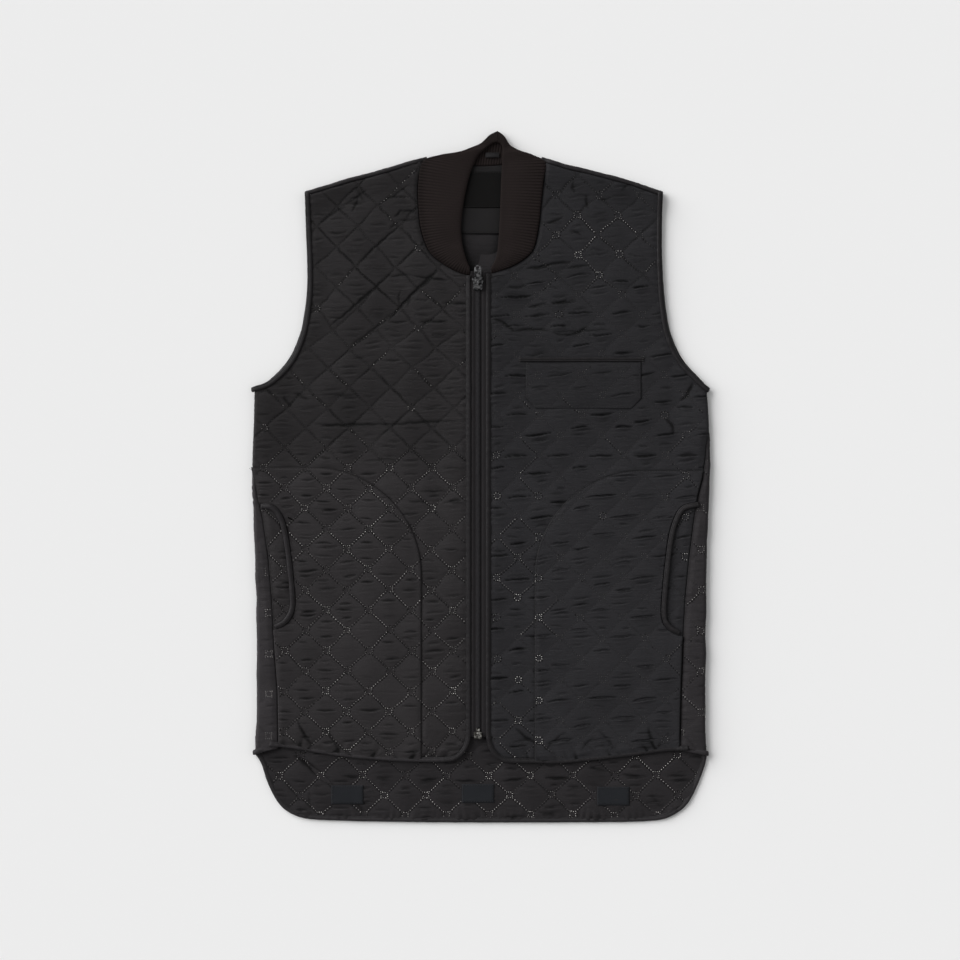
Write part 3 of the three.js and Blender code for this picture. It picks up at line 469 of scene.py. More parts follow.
def quilted(x, y, lattice, pillow, falling, rising, main, soft, slope=0.0, uneven=0.5):
    """Height and shading of quilted cloth. Each diamond is a pillow, the root of the product of
    the sines across its two pairs of seams. The seams pull it down, unevenly along their length,
    and creases run across it: main ones near its middle and soft ones above and below.
    The strengths are the pillow's height, the depth of falling and rising seams, the main and
    soft creases, the creases' slope, and how far the pillows differ in tone and in painted shade
    over their lower parts. Painted shade darkens the seams and the creases' troughs."""
    dx, dy = drift(x, y, lattice)
    x, y = x + dx, y + dy
    p, q = diagonals(x, y, lattice)
    x0, y0, across, up, seed = LATTICE[lattice][:5]
    rng = np.random.default_rng(seed)
    cells, seams = rng.random((64, 64, 30)), rng.random((2, 64, 64))
    ip, iq = np.floor(p).astype(int), np.floor(q).astype(int)
    fp, fq = p - ip, q - iq
    to_p, to_q = np.minimum(fp, 1 - fp) * SEAM_SPACING, np.minimum(fq, 1 - fq) * SEAM_SPACING
    dice = cells[ip % 64, iq % 64]
    u, v = x - x0 - (ip + iq + 1) / 2 * across, y - y0 - (ip - iq) / 2 * up
    dome = (np.sin(math.pi * fp) * np.sin(math.pi * fq) + 1e-6) ** 0.7
    lean = 1 + (0.2 * (dice[..., 0] - 0.5) * u + 0.3 * (dice[..., 1] - 0.6) * v) / 12
    height = pillow * dome * (0.75 + 0.5 * dice[..., 2]) * lean
    crossing = 1 - 0.7 * np.exp(-(to_p**2 + to_q**2) / 9)
    falling = falling * uneven_pull(seams[0], p, q) * bell(to_p, 1.1) * crossing
    rising = rising * uneven_pull(seams[1], q, p) * bell(to_q, 1.1) * crossing
    height = height - 0.25 * falling - 0.15 * rising
    # Painted shade along the seams; then a random tone for each pillow, and painted shade over its lower
    # part.
    groove = 1.15 * falling + 0.95 * rising
    groove = groove + uneven * dome * (0.3 * dice[..., 23] + 0.14 * np.clip(-v / 20, 0, 1))
    room = np.clip(dome * 2.6 - 0.35, 0, 1)
    crease = np.zeros_like(x)

    def fold(middle, half, width, bow, strength, tilt, left):
        """Lays one crease across each diamond, and paints shade into its trough."""
        nonlocal height, crease
        low, high = trough(u - left, v - middle, tilt, half, bow, width)
        height = height + room * strength * (0.45 * high - 1.0 * low)
        crease = crease + room * strength * low

    chance = dice[..., 3]
    middle = np.where(chance < 0.62, 4.5 * (dice[..., 4] - 0.5), np.where(chance < 0.84, 9.5, -8.0))
    half = np.where(chance < 0.62, 14 + 5 * dice[..., 5], 11)
    fold(middle, half, 0.7 + 0.3 * dice[..., 6], 1.5 * (dice[..., 7] - 0.5),
         main * (0.35 + 0.8 * dice[..., 8]), slope + 0.1 * (dice[..., 9] - 0.5),
         4 * (dice[..., 10] - 0.5))
    for i in range(3):
        d = dice[..., 11 + 4 * i:15 + 4 * i]
        middle = (-9.5 + 9 * i) + 5.5 * (d[..., 0] - 0.5)
        half = (8 + 7 * d[..., 1]) * np.clip(1.15 - np.abs(middle) / 22, 0.3, 1)
        fold(middle, half, 0.85 + 0.6 * d[..., 2], 1.4 * (d[..., 0] - 0.5),
             soft * np.clip(1.7 * d[..., 3] - 0.3, 0, 1.15),
             0.6 * slope + 0.16 * (d[..., 2] - 0.5), 9 * (d[..., 2] - 0.5))
    return setting("relief") * height, groove, np.clip(setting("crease_shade") * crease, 0, 1.2)


# Main creases of the two fronts: x0, y0, x1, y1, bow, half width, depth.
MAIN_CREASES = {
    RIGHT: [
        (-194, 61, -112, 62, 1.5, 1.8, 1.2), (-118, 62, -32, 67, -1.0, 1.7, 1.1),
        (-74, 184, -41, 184, -0.8, 1.5, 1.2), (-46, 207, -20, 205, 0.4, 1.4, 1.0),
        (-87, -29, -64, -30, 0.3, 1.4, 0.8), (-47, -30, -20, -30, -0.4, 1.4, 0.9),
        (-73, -17, -43, -17, 0.4, 1.4, 0.8), (-154, 313, -145, 331, 1.2, 1.4, 0.9),
        (-145, 256, -98, 298, -0.8, 1.3, 1.2), (-98, 251, -76, 273, 0.6, 1.3, 0.9),
        (-176, 181, -109, 239, 1.0, 1.5, 1.4), (-110, 238, -83, 240, -0.8, 1.4, 1.0),
        (-110, 187, -57, 243, -1.2, 1.6, 1.6), (-154, 157, -110, 188, 0.8, 1.3, 0.8),
        (-121, 322, -85, 347, 0.8, 1.3, 0.9), (-104, 308, -95, 316, 0.8, 1.3, 1.0),
        (-97, 316, -76, 314, -1.2, 1.3, 1.1), (-110, 295, -98, 303, -0.8, 1.3, 0.9),
        (-100, 303, -71, 306, 1.6, 1.4, 0.9), (-88, 201, -84, 215, -0.8, 1.4, 0.8),
        (-110, 183, -87, 184, 0.5, 1.3, 1.0), (-82, 238, -40, 232, 1.0, 1.4, 1.0),
        (-97, 222, -99, 204, 1.0, 1.5, 0.7), (-153, 140, -138, 141, 0.4, 1.4, 0.7),
        (-193, 300, -164, 321, -2.0, 1.6, 0.9), (-164, 321, -136, 339, 1.6, 1.6, 0.8),
        (-219, -290, -203, -318, 2.5, 2.0, 1.0), (-186, -296, -168, -325, -2.0, 1.8, 0.8),
        (-222, 100, -206, 92, -1.5, 1.8, 0.9), (-236, 96, -226, 82, 1.2, 1.7, 0.9),
        (-176, 96, -150, 97, 0.8, 1.7, 0.7), (-124, 20, -104, 22, -0.8, 1.5, 0.7),
        (-150, 345, -140, 325, 2.0, 1.8, 0.6),
    ],
    LEFT: [
        (54, 246, 80, 249, 1.6, 1.8, 1.4), (68, 250, 104, 256, -1.6, 1.8, 1.2),
        (100, 248, 127, 251, -0.8, 1.7, 1.0), (15, 189, 38, 174, -2.0, 1.8, 1.2),
        (36, 174, 80, 175, -1.6, 1.7, 1.2), (84, 170, 104, 168, 0.6, 1.5, 0.9),
        (30, 224, 52, 226, 0.6, 1.6, 1.0), (32, 211, 62, 215, 0.6, 1.5, 1.1),
        (56, 202, 76, 205, 0.5, 1.5, 1.0), (90, 206, 112, 208, 0.4, 1.5, 0.9),
        (251, 110, 238, 89, -2.0, 2.0, 1.4), (219, 72, 230, 51, -3.0, 1.8, 1.2),
        (108, 350, 108, 336, 1.0, 2.0, 0.8), (122, 334, 126, 318, 1.4, 2.0, 0.9),
        (142, 327, 153, 330, 1.0, 1.8, 0.7), (166, 338, 178, 352, 1.4, 2.0, 0.7),
        (78, 300, 96, 306, 2.4, 1.8, 1.0), (104, 293, 118, 288, -1.6, 1.7, 0.9),
        (100, 166, 125, 176, 1.6, 1.7, 1.0), (88, 172, 150, 174, 0.8, 1.4, 0.8),
        (196, -296, 204, -322, 1.6, 1.9, 1.0), (158, -322, 140, -300, 1.4, 1.7, 0.7),
        (40, -300, 66, -318, 2.4, 2.0, 1.0), (74, -322, 98, -302, -1.6, 1.8, 0.8),
        (222, -304, 208, -322, -1.6, 1.8, 0.9), (118, -322, 132, -308, -1.2, 1.7, 0.7),
    ],
}


def main_creases(x, y, creases):
    """Long creases placed one by one, each a trough along a bent line, with painted shade in it."""
    height, shade = np.zeros_like(x), np.zeros_like(x)
    for x0, y0, x1, y1, bow, width, depth in creases:
        half = math.hypot(x1 - x0, y1 - y0) / 2
        cx, cy = (x0 + x1) / 2, (y0 + y1) / 2
        near = (np.abs(x - cx) < half + 8) & (np.abs(y - cy) < half + 8)
        if near.any():
            ux, uy = (x1 - x0) / (2 * half), (y1 - y0) / (2 * half)
            u = (x[near] - cx) * ux + (y[near] - cy) * uy
            v = (y[near] - cy) * ux - (x[near] - cx) * uy + 0.6 * ripple(x[near], y[near], 14, 5)
            low, high = trough(u, v, 0, half * 1.1, bow, width)
            ridge = 0.15 if abs(uy) < 0.35 else 0.0
            height[near] += depth * (ridge * high - (0.35 + ridge) * low)
            shade[near] += 1.15 * depth * low
    return height, shade


def puckers(along, from_edge, spacing, seed):
    """Gathers that run in from a sewn edge: waves along it whose spacing wanders, fading inwards.
    Gives their height and the shade in their hollows."""
    phase = along / spacing * 2 * math.pi + 2.6 * ripple(along, 0 * along, 55, seed)
    phase = phase + 0.10 * from_edge * np.sign(ripple(along, 0 * along, 90, seed + 2))
    amount = 0.3 + 0.7 * np.clip(ripple(along, 0 * along, 33, seed + 1) + 0.5, 0, 1)
    wave = np.sin(phase) * amount * np.exp(-np.maximum(from_edge, 0) / 8)
    return wave, np.clip(-wave, 0, 1) ** 2


def front_look(side, x, y):
    """How strongly each part of a front is quilted and creased."""
    if side == RIGHT:
        upper = smoothstep(y, -15, 55)
        inner = 1 - smoothstep(np.abs(x), 50, 110)
        return dict(pillow=0.8 - 0.35 * upper, falling=0.6 + 0.5 * upper, rising=0.6 + 0.5 * upper,
                    main=0.35 + 0.5 * inner * upper, soft=0.95 - 0.4 * upper, uneven=0.5 + 0.5 * upper)
    shoulder = smoothstep(y, 190, 290)
    return dict(pillow=0.5, falling=0.2 + 0.4 * shoulder, rising=0.2 + 0.6 * shoulder,
                main=2.2 - 1.7 * shoulder, soft=0.6 - 0.2 * shoulder, slope=0.1, uneven=0.6)


def front_painted_light(side, out, y):
    """Painted light that brightens a front's cloth: over its lower half, and less so beside the zip."""
    if side == LEFT:
        return 0.7 * (1 - smoothstep(y, -60, 120))
    return (1 - smoothstep(y, -20, 60)) * (0.45 + 0.55 * smoothstep(out, 62, 73))


def front_base(side, x, y):
    """Height and shading of a front's quilting, its long creases and its slow swells."""
    name = side_name(side) + "_front"
    height, groove, crease = quilted(x, y, name, **front_look(side, x, y))
    extra, shade = main_creases(x, y, MAIN_CREASES[side])
    hem = y - hem_y(side, side * x) - TAPE_WIDTH
    wave, hollow = puckers(side * x + 0.5 * hem, hem, 15, 21 + side)
    height = height + extra + 0.8 * wave + 0.5 * ripple(x, y, 75, 11 + side)
    return height, groove, crease + shade + 1.6 * hollow


def front_surface(side, out, y):
    """Lift and shading of a front at a point of its flat cloth."""
    x = side * out
    height, groove, crease = front_base(side, x, y)
    neck = distance_to(x, y, signed(side, neck_line(side)))
    shoulder = distance_to(x, y, signed(side, shoulder_points(side)))
    near = np.minimum(neck, shoulder + 3)
    side_gap = np.where(y < 106, seam_out(side, y) - out, 99)
    bound = np.minimum(distance_to(x, y, signed(side, front_edge(side))),
                       distance_to(x, y, signed(side, armhole(side))))
    wave, hollow = puckers(y, np.minimum(bound - TAPE_WIDTH, side_gap), 9.5, 25 + side)
    lift = 1.8 + height + 0.35 * wave
    crease = crease + 0.4 * hollow
    pocket = signed(side, pocket_outline(side))
    covered = inside(x, y, pocket)
    border = distance_to(x, y, pocket)
    if side == LEFT:
        flap = flap_outline()
        covered = covered | inside(x, y, flap)
        edge = distance_to(x, y, flap)
        border = np.minimum(border, edge + np.where(y < FLAP[3] + 2, 2.5, 0.5))
    opening = signed(side, offset(hand_opening(side), SEAM + TAPE_WIDTH / 2))
    border = np.minimum(border, np.maximum(distance_to(x, y, opening) - 3, 0))
    hold = np.where(covered, 1.0, 1 - smoothstep(border, 0.5, 5))
    lift = np.where(hold > 0, np.minimum(lift, 2.3 + (lift - 2.3) * (1 - hold)), lift)
    # Painted shade along the edges of the pockets, the flap and the hand openings.
    groove = np.maximum(groove, 0.35 * bell(border, 1.4))
    roll = smoothstep(near, -1.5, 6) * (0.25 + 0.75 * smoothstep(side_gap, -1, 9))
    roll = roll * (0.7 + 0.3 * smoothstep(bound, TAPE_WIDTH - 1, TAPE_WIDTH + 6))
    lift = 0.7 + (lift - 0.7) * roll
    # Painted shade along the neck seam, most on the right, the shoulder and side seams, and beside the
    # tapes, most at the hem.
    hem = 0.2 + 0.55 * smoothstep(-y, 300, 312)
    groove = np.maximum.reduce([
        groove, (1.0 if side == RIGHT else 0.3) * bell(neck, 1.8), 0.5 * bell(shoulder, 1.3),
        0.7 * bell(side_gap, 1.9), hem * bell(bound - TAPE_WIDTH, 1.3)])
    return lift, groove, crease * roll


def seam_points(side):
    """The side seam along the cloth, from the hem up to the underarm."""
    y = np.linspace(-322, 102, 44)
    return np.stack([seam_out(side, y), y], 1)


def shoulder_points(side):
    """The seam between the shoulder fold and the front, from the armhole in to the collar."""
    first, last = SHOULDER[side][-2, 0] - 3, neck_line(side)[-1, 0] + SHOULDER_SEAM / 2
    out = np.linspace(first, last, 30)
    return offset(np.stack([out, shoulder_y(side, out)], 1), SHOULDER_SEAM)


def flap_outline(inset=0.0, drop=0.0, slant=0.0):
    """The flap's outline with its cut corners, moved in by the inset. drop lowers its upper edge,
    and slant makes its corners larger."""
    start, end, top, bottom, cut = FLAP
    start, end, cut = start + inset, end - inset, cut + slant - inset
    low = bottom + inset
    return np.array([
        (start, top - drop), (start, low + cut), (start + cut, low), (end - cut, low),
        (end, low + cut), (end, top - drop), (start, top - drop)], float)


# ---- meshes -------------------------------------------------------------------------------

class Piece:
    """Gathers one piece's points, faces and shading values, in millimetres."""

    def __init__(self, name):
        self.name = name
        self.points, self.flat, self.faces, self.values, self.count = [], [], [], [], 0

    def add(self, points, faces, flat=None, groove=0.0, crease=0.0, shade=0.0):
        """Adds points with their faces, their place on the flat cloth and their shading."""
        points = np.reshape(points, (-1, 3))
        flat = points[:, :2] if flat is None else np.reshape(flat, (-1, 2))
        fill = lambda v: np.broadcast_to(np.asarray(v, float).ravel(), len(points))
        self.points.append(points)
        self.flat.append(flat)
        self.values.append(np.stack([fill(groove), fill(crease), fill(shade)]))
        self.faces += [np.reshape(f, (-1, f.shape[-1])) + self.count for f in faces if len(f)]
        self.count += len(points)

    def make(self, finish, slot=None, node=None, sharp=None):
        """Makes the mesh object in metres with the named finish. It rides on the vest, and replaces the
        node that it stands for. The slot is not used. Edges over sharp degrees stay sharp."""
        points = np.concatenate(self.points) * 0.001
        flat = np.concatenate(self.flat) * 0.001
        sizes = np.concatenate([np.full(len(f), f.shape[1]) for f in self.faces])
        corners = np.concatenate([f.ravel() for f in self.faces]).astype(np.int32)
        mesh = bpy.data.meshes.new(self.name)
        mesh.vertices.add(len(points))
        mesh.vertices.foreach_set("co", points.astype(np.float32).ravel())
        mesh.loops.add(len(corners))
        mesh.loops.foreach_set("vertex_index", corners)
        mesh.polygons.add(len(sizes))
        mesh.polygons.foreach_set("loop_start", (np.cumsum(sizes) - sizes).astype(np.int32))
        mesh.polygons.foreach_set("use_smooth", np.full(len(sizes), True))
        mesh.uv_layers.new(name="cloth").data.foreach_set(
            "uv", flat[corners].astype(np.float32).ravel())
        values = np.concatenate(self.values, axis=1).astype(np.float32)
        for name, value in zip(("groove", "crease", "shade"), values):
            mesh.attributes.new(name, "FLOAT", "POINT").data.foreach_set("value", value)
        mesh.update(calc_edges=True)
        mesh.validate()
        if sharp is not None:
            mesh.set_sharp_from_angle(angle=math.radians(sharp))
        made = bpy.data.objects.new(self.name, mesh)
        bpy.context.scene.collection.objects.link(made)
        mesh.materials.append(finish_of(finish))
        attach(made, "vest")
        if node:
            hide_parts(node)
        return made


def grid_faces(rows, cols, round_it=False):
    """Quads of a grid of points, row by row; round_it joins its last column to its first."""
    r, c = np.mgrid[0:rows - 1, 0:cols if round_it else cols - 1]
    a, b = r * cols + c, r * cols + (c + 1) % cols
    return np.stack([a, b, b + cols, a + cols], -1).reshape(-1, 4)


def tube_faces(rows, cols):
    """Faces of a tube made of rings, with both of its ends closed."""
    ends = np.arange(cols)[None]
    return [grid_faces(rows, cols, True), ends[:, ::-1], ends + (rows - 1) * cols]


def copies(faces, size, count):
    """The faces of one shape that has size points, once for each copy of it."""
    return (np.arange(count)[:, None, None] * size + faces).reshape(-1, faces.shape[-1])


def lookup(grid, rows, cols):
    """A grid's values between its points, by mixing the four nearest."""
    r0 = np.clip(np.floor(rows).astype(int), 0, grid.shape[0] - 2)
    c0 = np.clip(np.floor(cols).astype(int), 0, grid.shape[1] - 2)
    fr, fc = (rows - r0)[..., None], (cols - c0)[..., None]
    low = grid[r0, c0] * (1 - fc) + grid[r0, c0 + 1] * fc
    high = grid[r0 + 1, c0] * (1 - fc) + grid[r0 + 1, c0 + 1] * fc
    return low * (1 - fr) + high * fr


def coons(bottom, top, left, right, cols, rows):
    """A grid filled in from its four edges: the two straight mixes of opposite edges, less the
    straight mix of the four corners. Left and right are spaced half by length, half by height."""
    bottom, top = resample(bottom, cols), resample(top, cols)
    measure = lambda e: (lengths(e) / lengths(e)[-1]
                         + np.concatenate([[0], np.cumsum(np.abs(np.diff(e[:, 1])))])
                         / np.abs(np.diff(e[:, 1])).sum())
    left, right = resample(left, rows, measure(left)), resample(right, rows, measure(right))
    s = np.linspace(0, 1, cols)[None, :, None]
    t = np.linspace(0, 1, rows)[:, None, None]
    corners = (1 - s) * ((1 - t) * bottom[0] + t * top[0]) + s * ((1 - t) * bottom[-1] + t * top[-1])
    return (1 - s) * left[:, None] + s * right[:, None] + (1 - t) * bottom[None] + t * top[None] - corners


def between(low, high, rows):
    """A grid of lines that step evenly from the low line to the high one."""
    t = np.linspace(0, 1, rows)[:, None, None]
    return low[None] * (1 - t) + high[None] * t


def rows_between(y, low, high, cols):
    """A grid of level rows, each from its low to its high end."""
    s = np.linspace(0, 1, cols)[None, :]
    x = low[:, None] * (1 - s) + high[:, None] * s
    return np.stack([x, np.repeat(y[:, None], cols, 1)], -1)


def flat_area(plan):
    """Area of a grid in square metres."""
    a, b = plan[1:, 1:] - plan[:-1, :-1], plan[1:, :-1] - plan[:-1, 1:]
    return float(np.abs(a[..., 0] * b[..., 1] - a[..., 1] * b[..., 0]).sum() / 2) * 1e-6


def closed_sheet(piece, plan, place, surface, under=0.0, down=False, rings=8, tone=0.0):
    """A closed sheet over a grid in plan. The fine face is place(plan) at the surface's lift, and
    takes the tone as its shade: painted light, which brightens shell cloth. The other face has the
    same border, and runs in to the middle as shrinking copies of it."""
    rows, cols = plan.shape[:2]
    lift, groove, crease = surface(plan[..., 0], plan[..., 1])
    top = place(plan[..., 0], plan[..., 1], lift)
    r = np.concatenate([np.zeros(cols - 1), np.arange(rows - 1), np.full(cols - 1, rows - 1),
                        np.arange(rows - 1, 0, -1)])
    c = np.concatenate([np.arange(cols - 1), np.full(rows - 1, cols - 1),
                        np.arange(cols - 1, 0, -1), np.zeros(rows - 1)])
    border = (r * cols + c).astype(int)
    size = len(border)
    scale = np.concatenate([[1], np.linspace(0.985, 0.04, rings - 1)])[:, None]
    middle = ((rows - 1) / 2, (cols - 1) / 2)
    below = lookup(plan, middle[0] + scale * (r - middle[0]), middle[1] + scale * (c - middle[1]))
    lower = place(below[..., 0], below[..., 1], under)
    centre = plan[rows // 2, cols // 2]
    hub = place(centre[:1], centre[1:], under)
    first = rows * cols
    ring = first + np.arange(rings)[:, None] * size + np.arange(size)[None]
    after = np.roll(ring, -1, axis=1)
    rim = np.stack([border, ring[0], after[0], np.roll(border, -1)], -1)
    inner = np.stack([ring[:-1], ring[1:], after[1:], after[:-1]], -1).reshape(-1, 4)
    last = np.stack([ring[-1], np.full(size, first + rings * size), after[-1]], -1)
    faces = [grid_faces(rows, cols), rim, inner, last]
    a, b = top[1:, 1:] - top[:-1, :-1], top[1:, :-1] - top[:-1, 1:]
    up = np.cross(a, b)[..., 2].sum() > 0
    if up == down:
        faces = [f[:, ::-1] for f in faces]
    pad = np.zeros(rings * size + 1)
    piece.add(
        np.concatenate([top.reshape(-1, 3), lower.reshape(-1, 3), hub.reshape(-1, 3)]), faces,
        flat=np.concatenate([plan.reshape(-1, 2), below.reshape(-1, 2), centre[None]]),
        groove=np.concatenate([groove.ravel(), pad]), crease=np.concatenate([crease.ravel(), pad]),
        shade=np.concatenate([(groove * 0 + tone).ravel(), pad]))
    return flat_area(plan)


def sheet_piece(name, plan, place, surface, finish, slot, node, **more):
    """A piece that is one closed sheet: its object, and its flat area."""
    piece = Piece(name)
    area = closed_sheet(piece, plan, place, surface, **more)
    return piece.make(finish, slot, node), area


# A folded tape's profile, across and up, in half widths and half heights.
TAPE_PROFILE = np.array([
    (-1, 0), (-0.97, 0.42), (-0.84, 0.8), (-0.5, 1.0), (-0.05, 0.98), (0.3, 0.86), (0.5, 0.6),
    (0.66, 0.62), (0.86, 0.46), (1, 0), (0.9, -0.5), (0.5, -0.85), (0, -1), (-0.5, -0.95),
    (-0.85, -0.75), (-0.97, -0.38)])


def folded_tape(piece, path, across, width=TAPE_WIDTH, thick=TAPE_THICK, closed=False, seed=1, pull=1.0,
                light=0.0):
    """A folded tape: its profile carried along a path, wider and narrower by slow waves, and
    drawn in by a cosine at each of its stitches. Painted shade darkens its stitched groove, and
    light gives painted light along it."""
    along = heading(path)
    across = unit(across - (across * along).sum(1)[:, None] * along)
    up = np.cross(across, along)
    up *= np.sign(up[np.argmax(np.abs(up[:, 2])), 2])
    s = lengths(path)
    wave = ripple(s, 0 * s, 9, seed) * 0.10 + ripple(s, 0 * s, 23, seed + 1) * 0.12
    bite = 0.06 * np.cos(s * 2 * math.pi / setting("topstitch_pitch"))
    a = TAPE_PROFILE[None, :, 0] * (width / 2) * (1 + 0.25 * pull * wave[:, None])
    b = TAPE_PROFILE[None, :, 1] * (thick / 2)
    inner = bell(TAPE_PROFILE[:, 0] - 0.55, 0.25) * (TAPE_PROFILE[:, 1] > 0)
    b = b + pull * (wave[:, None] * (TAPE_PROFILE[None, :, 1] > 0.2) + bite[:, None] * inner[None])
    points = path[:, None] + a[..., None] * across[:, None] + b[..., None] * up[:, None]
    m = len(TAPE_PROFILE)
    round_the_profile = lengths(TAPE_PROFILE * (width / 2, thick / 2))
    flat = np.stack([np.repeat(s[:, None], m, 1), np.repeat(round_the_profile[None], len(s), 0)], -1)
    faces = tube_faces(len(path), m)
    if closed:
        start, end = faces[1][0, ::-1], faces[2][0]
        faces[1:] = [np.stack([end, np.roll(end, -1), np.roll(start, -1), start], -1)]
    normal = np.cross(points[1, 0] - points[0, 0], points[0, 1] - points[0, 0])
    if normal @ (points[0, 0] - path[0]) > 0:
        faces = [f[:, ::-1] for f in faces]
    # Painted shade in the stitched groove, and the light as painted light.
    piece.add(points, faces, flat=flat, groove=0.6 * np.repeat(inner[None], len(s), 0),
              shade=np.repeat(np.broadcast_to(light, len(s))[:, None], m, 1))


def tape_piece(name, path, across, node, **more):
    """A folded tape that is a piece of its own."""
    tape = Piece(name)
    folded_tape(tape, path, across, **more)
    return tape.make("binding", "binding_cloth", node)


def flat_across(line, left=True):
    """The direction in plan that points to the left of a line at each of its points."""
    along = heading(line)
    turn = 1 if left else -1
    return np.stack([-along[:, 1] * turn, along[:, 0] * turn, 0 * along[:, 0]], 1)


def half_turn(high, low, outward, steps=9):
    """The half circle on which a tape turns from one height down to another at its end."""
    a = np.linspace(0, math.pi, steps + 2)[1:-1]
    radius = (high[2] - low[2]) / 2
    plan = high[:2] + (low[:2] - high[:2]) * (a / math.pi)[:, None]
    plan = plan + outward * (radius * np.sin(a))[:, None]
    return np.concatenate([plan, (low[2] + radius * (1 + np.cos(a)))[:, None]], 1)


# A stitch: two pyramids on one four-sided waist, long axis first.
BEAD = np.array([(1, 0, 0), (0, 1, 0), (-1, 0, 0), (0, -1, 0), (0, 0, 1), (0, 0, -1)], float)
BEAD_FACES = np.array([(i, (i + 1) % 4, 4) for i in range(4)] + [((i + 1) % 4, i, 5) for i in range(4)])


def beads(piece, places, normals, along, size, shade=0.0):
    """One stitch at each place: the bead stretched by size along the seam, across it and up."""
    if not len(places):
        return
    normals = unit(normals)
    along = unit(along - (along * normals).sum(1)[:, None] * normals)
    side = np.cross(normals, along)
    shape = BEAD * np.broadcast_to(size, (len(places), 3))[:, None]
    points = (places[:, None] + shape[..., :1] * along[:, None]
              + shape[..., 1:2] * side[:, None] + shape[..., 2:] * normals[:, None])
    shades = np.repeat(np.broadcast_to(shade, len(places))[:, None], len(BEAD), 1)
    piece.add(points, [copies(BEAD_FACES, len(BEAD), len(places))], shade=shades)


def quilting_dots(lattice, box):
    """Where the quilting thread shows: eight stitches along each run between two crossings, eight
    round each crossing, and beside each stitch, half a pitch further on, a needle hole painted as
    its shadow. Returns the points in plan, the seam's direction there, a random share that is the
    same along each run and round each ring, and the kind: 0 on a run, 3 at its ends, 1 on a ring,
    2 a hole's painted shadow."""
    x0, y0, across, up, seed = LATTICE[lattice][:5]
    corners = np.array([(x, y) for x in box[:2] for y in box[2:]], float)
    p, q = diagonals(corners[:, 0], corners[:, 1], lattice)
    ps = np.arange(math.floor(p.min()) - 1, math.ceil(p.max()) + 2)
    qs = np.arange(math.floor(q.min()) - 1, math.ceil(q.max()) + 2)
    gp, gq = (g.ravel().astype(float) for g in np.meshgrid(ps, qs))
    place = lambda p, q: np.stack([x0 + (p + q) / 2 * across, y0 + (p - q) / 2 * up], -1)
    steps = np.arange(1.5, 9) / 10
    a = (np.arange(8) + 0.5) * math.pi / 4
    circle = lambda radius, a: place(gp, gq)[:, None] + radius * np.stack([np.cos(a), np.sin(a)], -1)
    falling = place(gp[:, None] + 0 * steps, gq[:, None] + steps)
    rising = place(gp[:, None] + steps, gq[:, None] + 0 * steps)
    groups = (falling, rising, circle(3.6, a), falling + (0.4, -2.1), rising + (2.1, 0.3),
              circle(4.5, a + math.pi / 8))
    count = 8 * len(gp)
    points = np.concatenate(groups).reshape(-1, 2)
    direction = np.repeat([(across, -up), (across, up), (1.0, 0)] * 2, count, axis=0)
    shares = np.random.default_rng(seed + 90).random((3, len(gp)))
    share = np.repeat(np.tile(shares.ravel(), 2), 8)
    runs = np.tile([3, 0, 0, 0, 0, 0, 0, 3], 2 * len(gp))
    kind = np.concatenate([runs, np.repeat([1, 2], (count, 3 * count))])
    even = points
    for _ in range(3):
        points = even - np.stack(drift(points[:, 0], points[:, 1], lattice), -1)
    keep = within(points[:, 0], points[:, 1], box)
    return points[keep], direction[keep], share[keep], kind[keep]


# ---- shader maths -------------------------------------------------------------------------

class Value:
    """A number that varies over a surface. Python's operators on it add Math nodes."""

    def __init__(self, tree, socket):
        self.tree, self.socket = tree, socket

    def math(self, operation, *others, clamp=False, swap=False):
        """A Math node on this value and the others, in swapped order where asked."""
        node = self.tree.nodes.new("ShaderNodeMath")
        node.operation, node.use_clamp = operation, clamp
        terms = (*others, self) if swap else (self, *others)
        for term, socket in zip(terms, node.inputs):
            if isinstance(term, Value):
                self.tree.links.new(term.socket, socket)
            else:
                socket.default_value = term
        return Value(self.tree, node.outputs[0])

    def __add__(self, other):
        return self.math("ADD", other)

    def __sub__(self, other):
        return self.math("SUBTRACT", other)

    def __rsub__(self, other):
        return self.math("SUBTRACT", other, swap=True)

    def __mul__(self, other):
        return self.math("MULTIPLY", other)

    __radd__, __rmul__ = __add__, __mul__

    def clamped(self):
        return self.math("ADD", 0.0, clamp=True)

    def sine(self):
        return self.math("SINE")

    def most(self, other):
        return self.math("MAXIMUM", other)


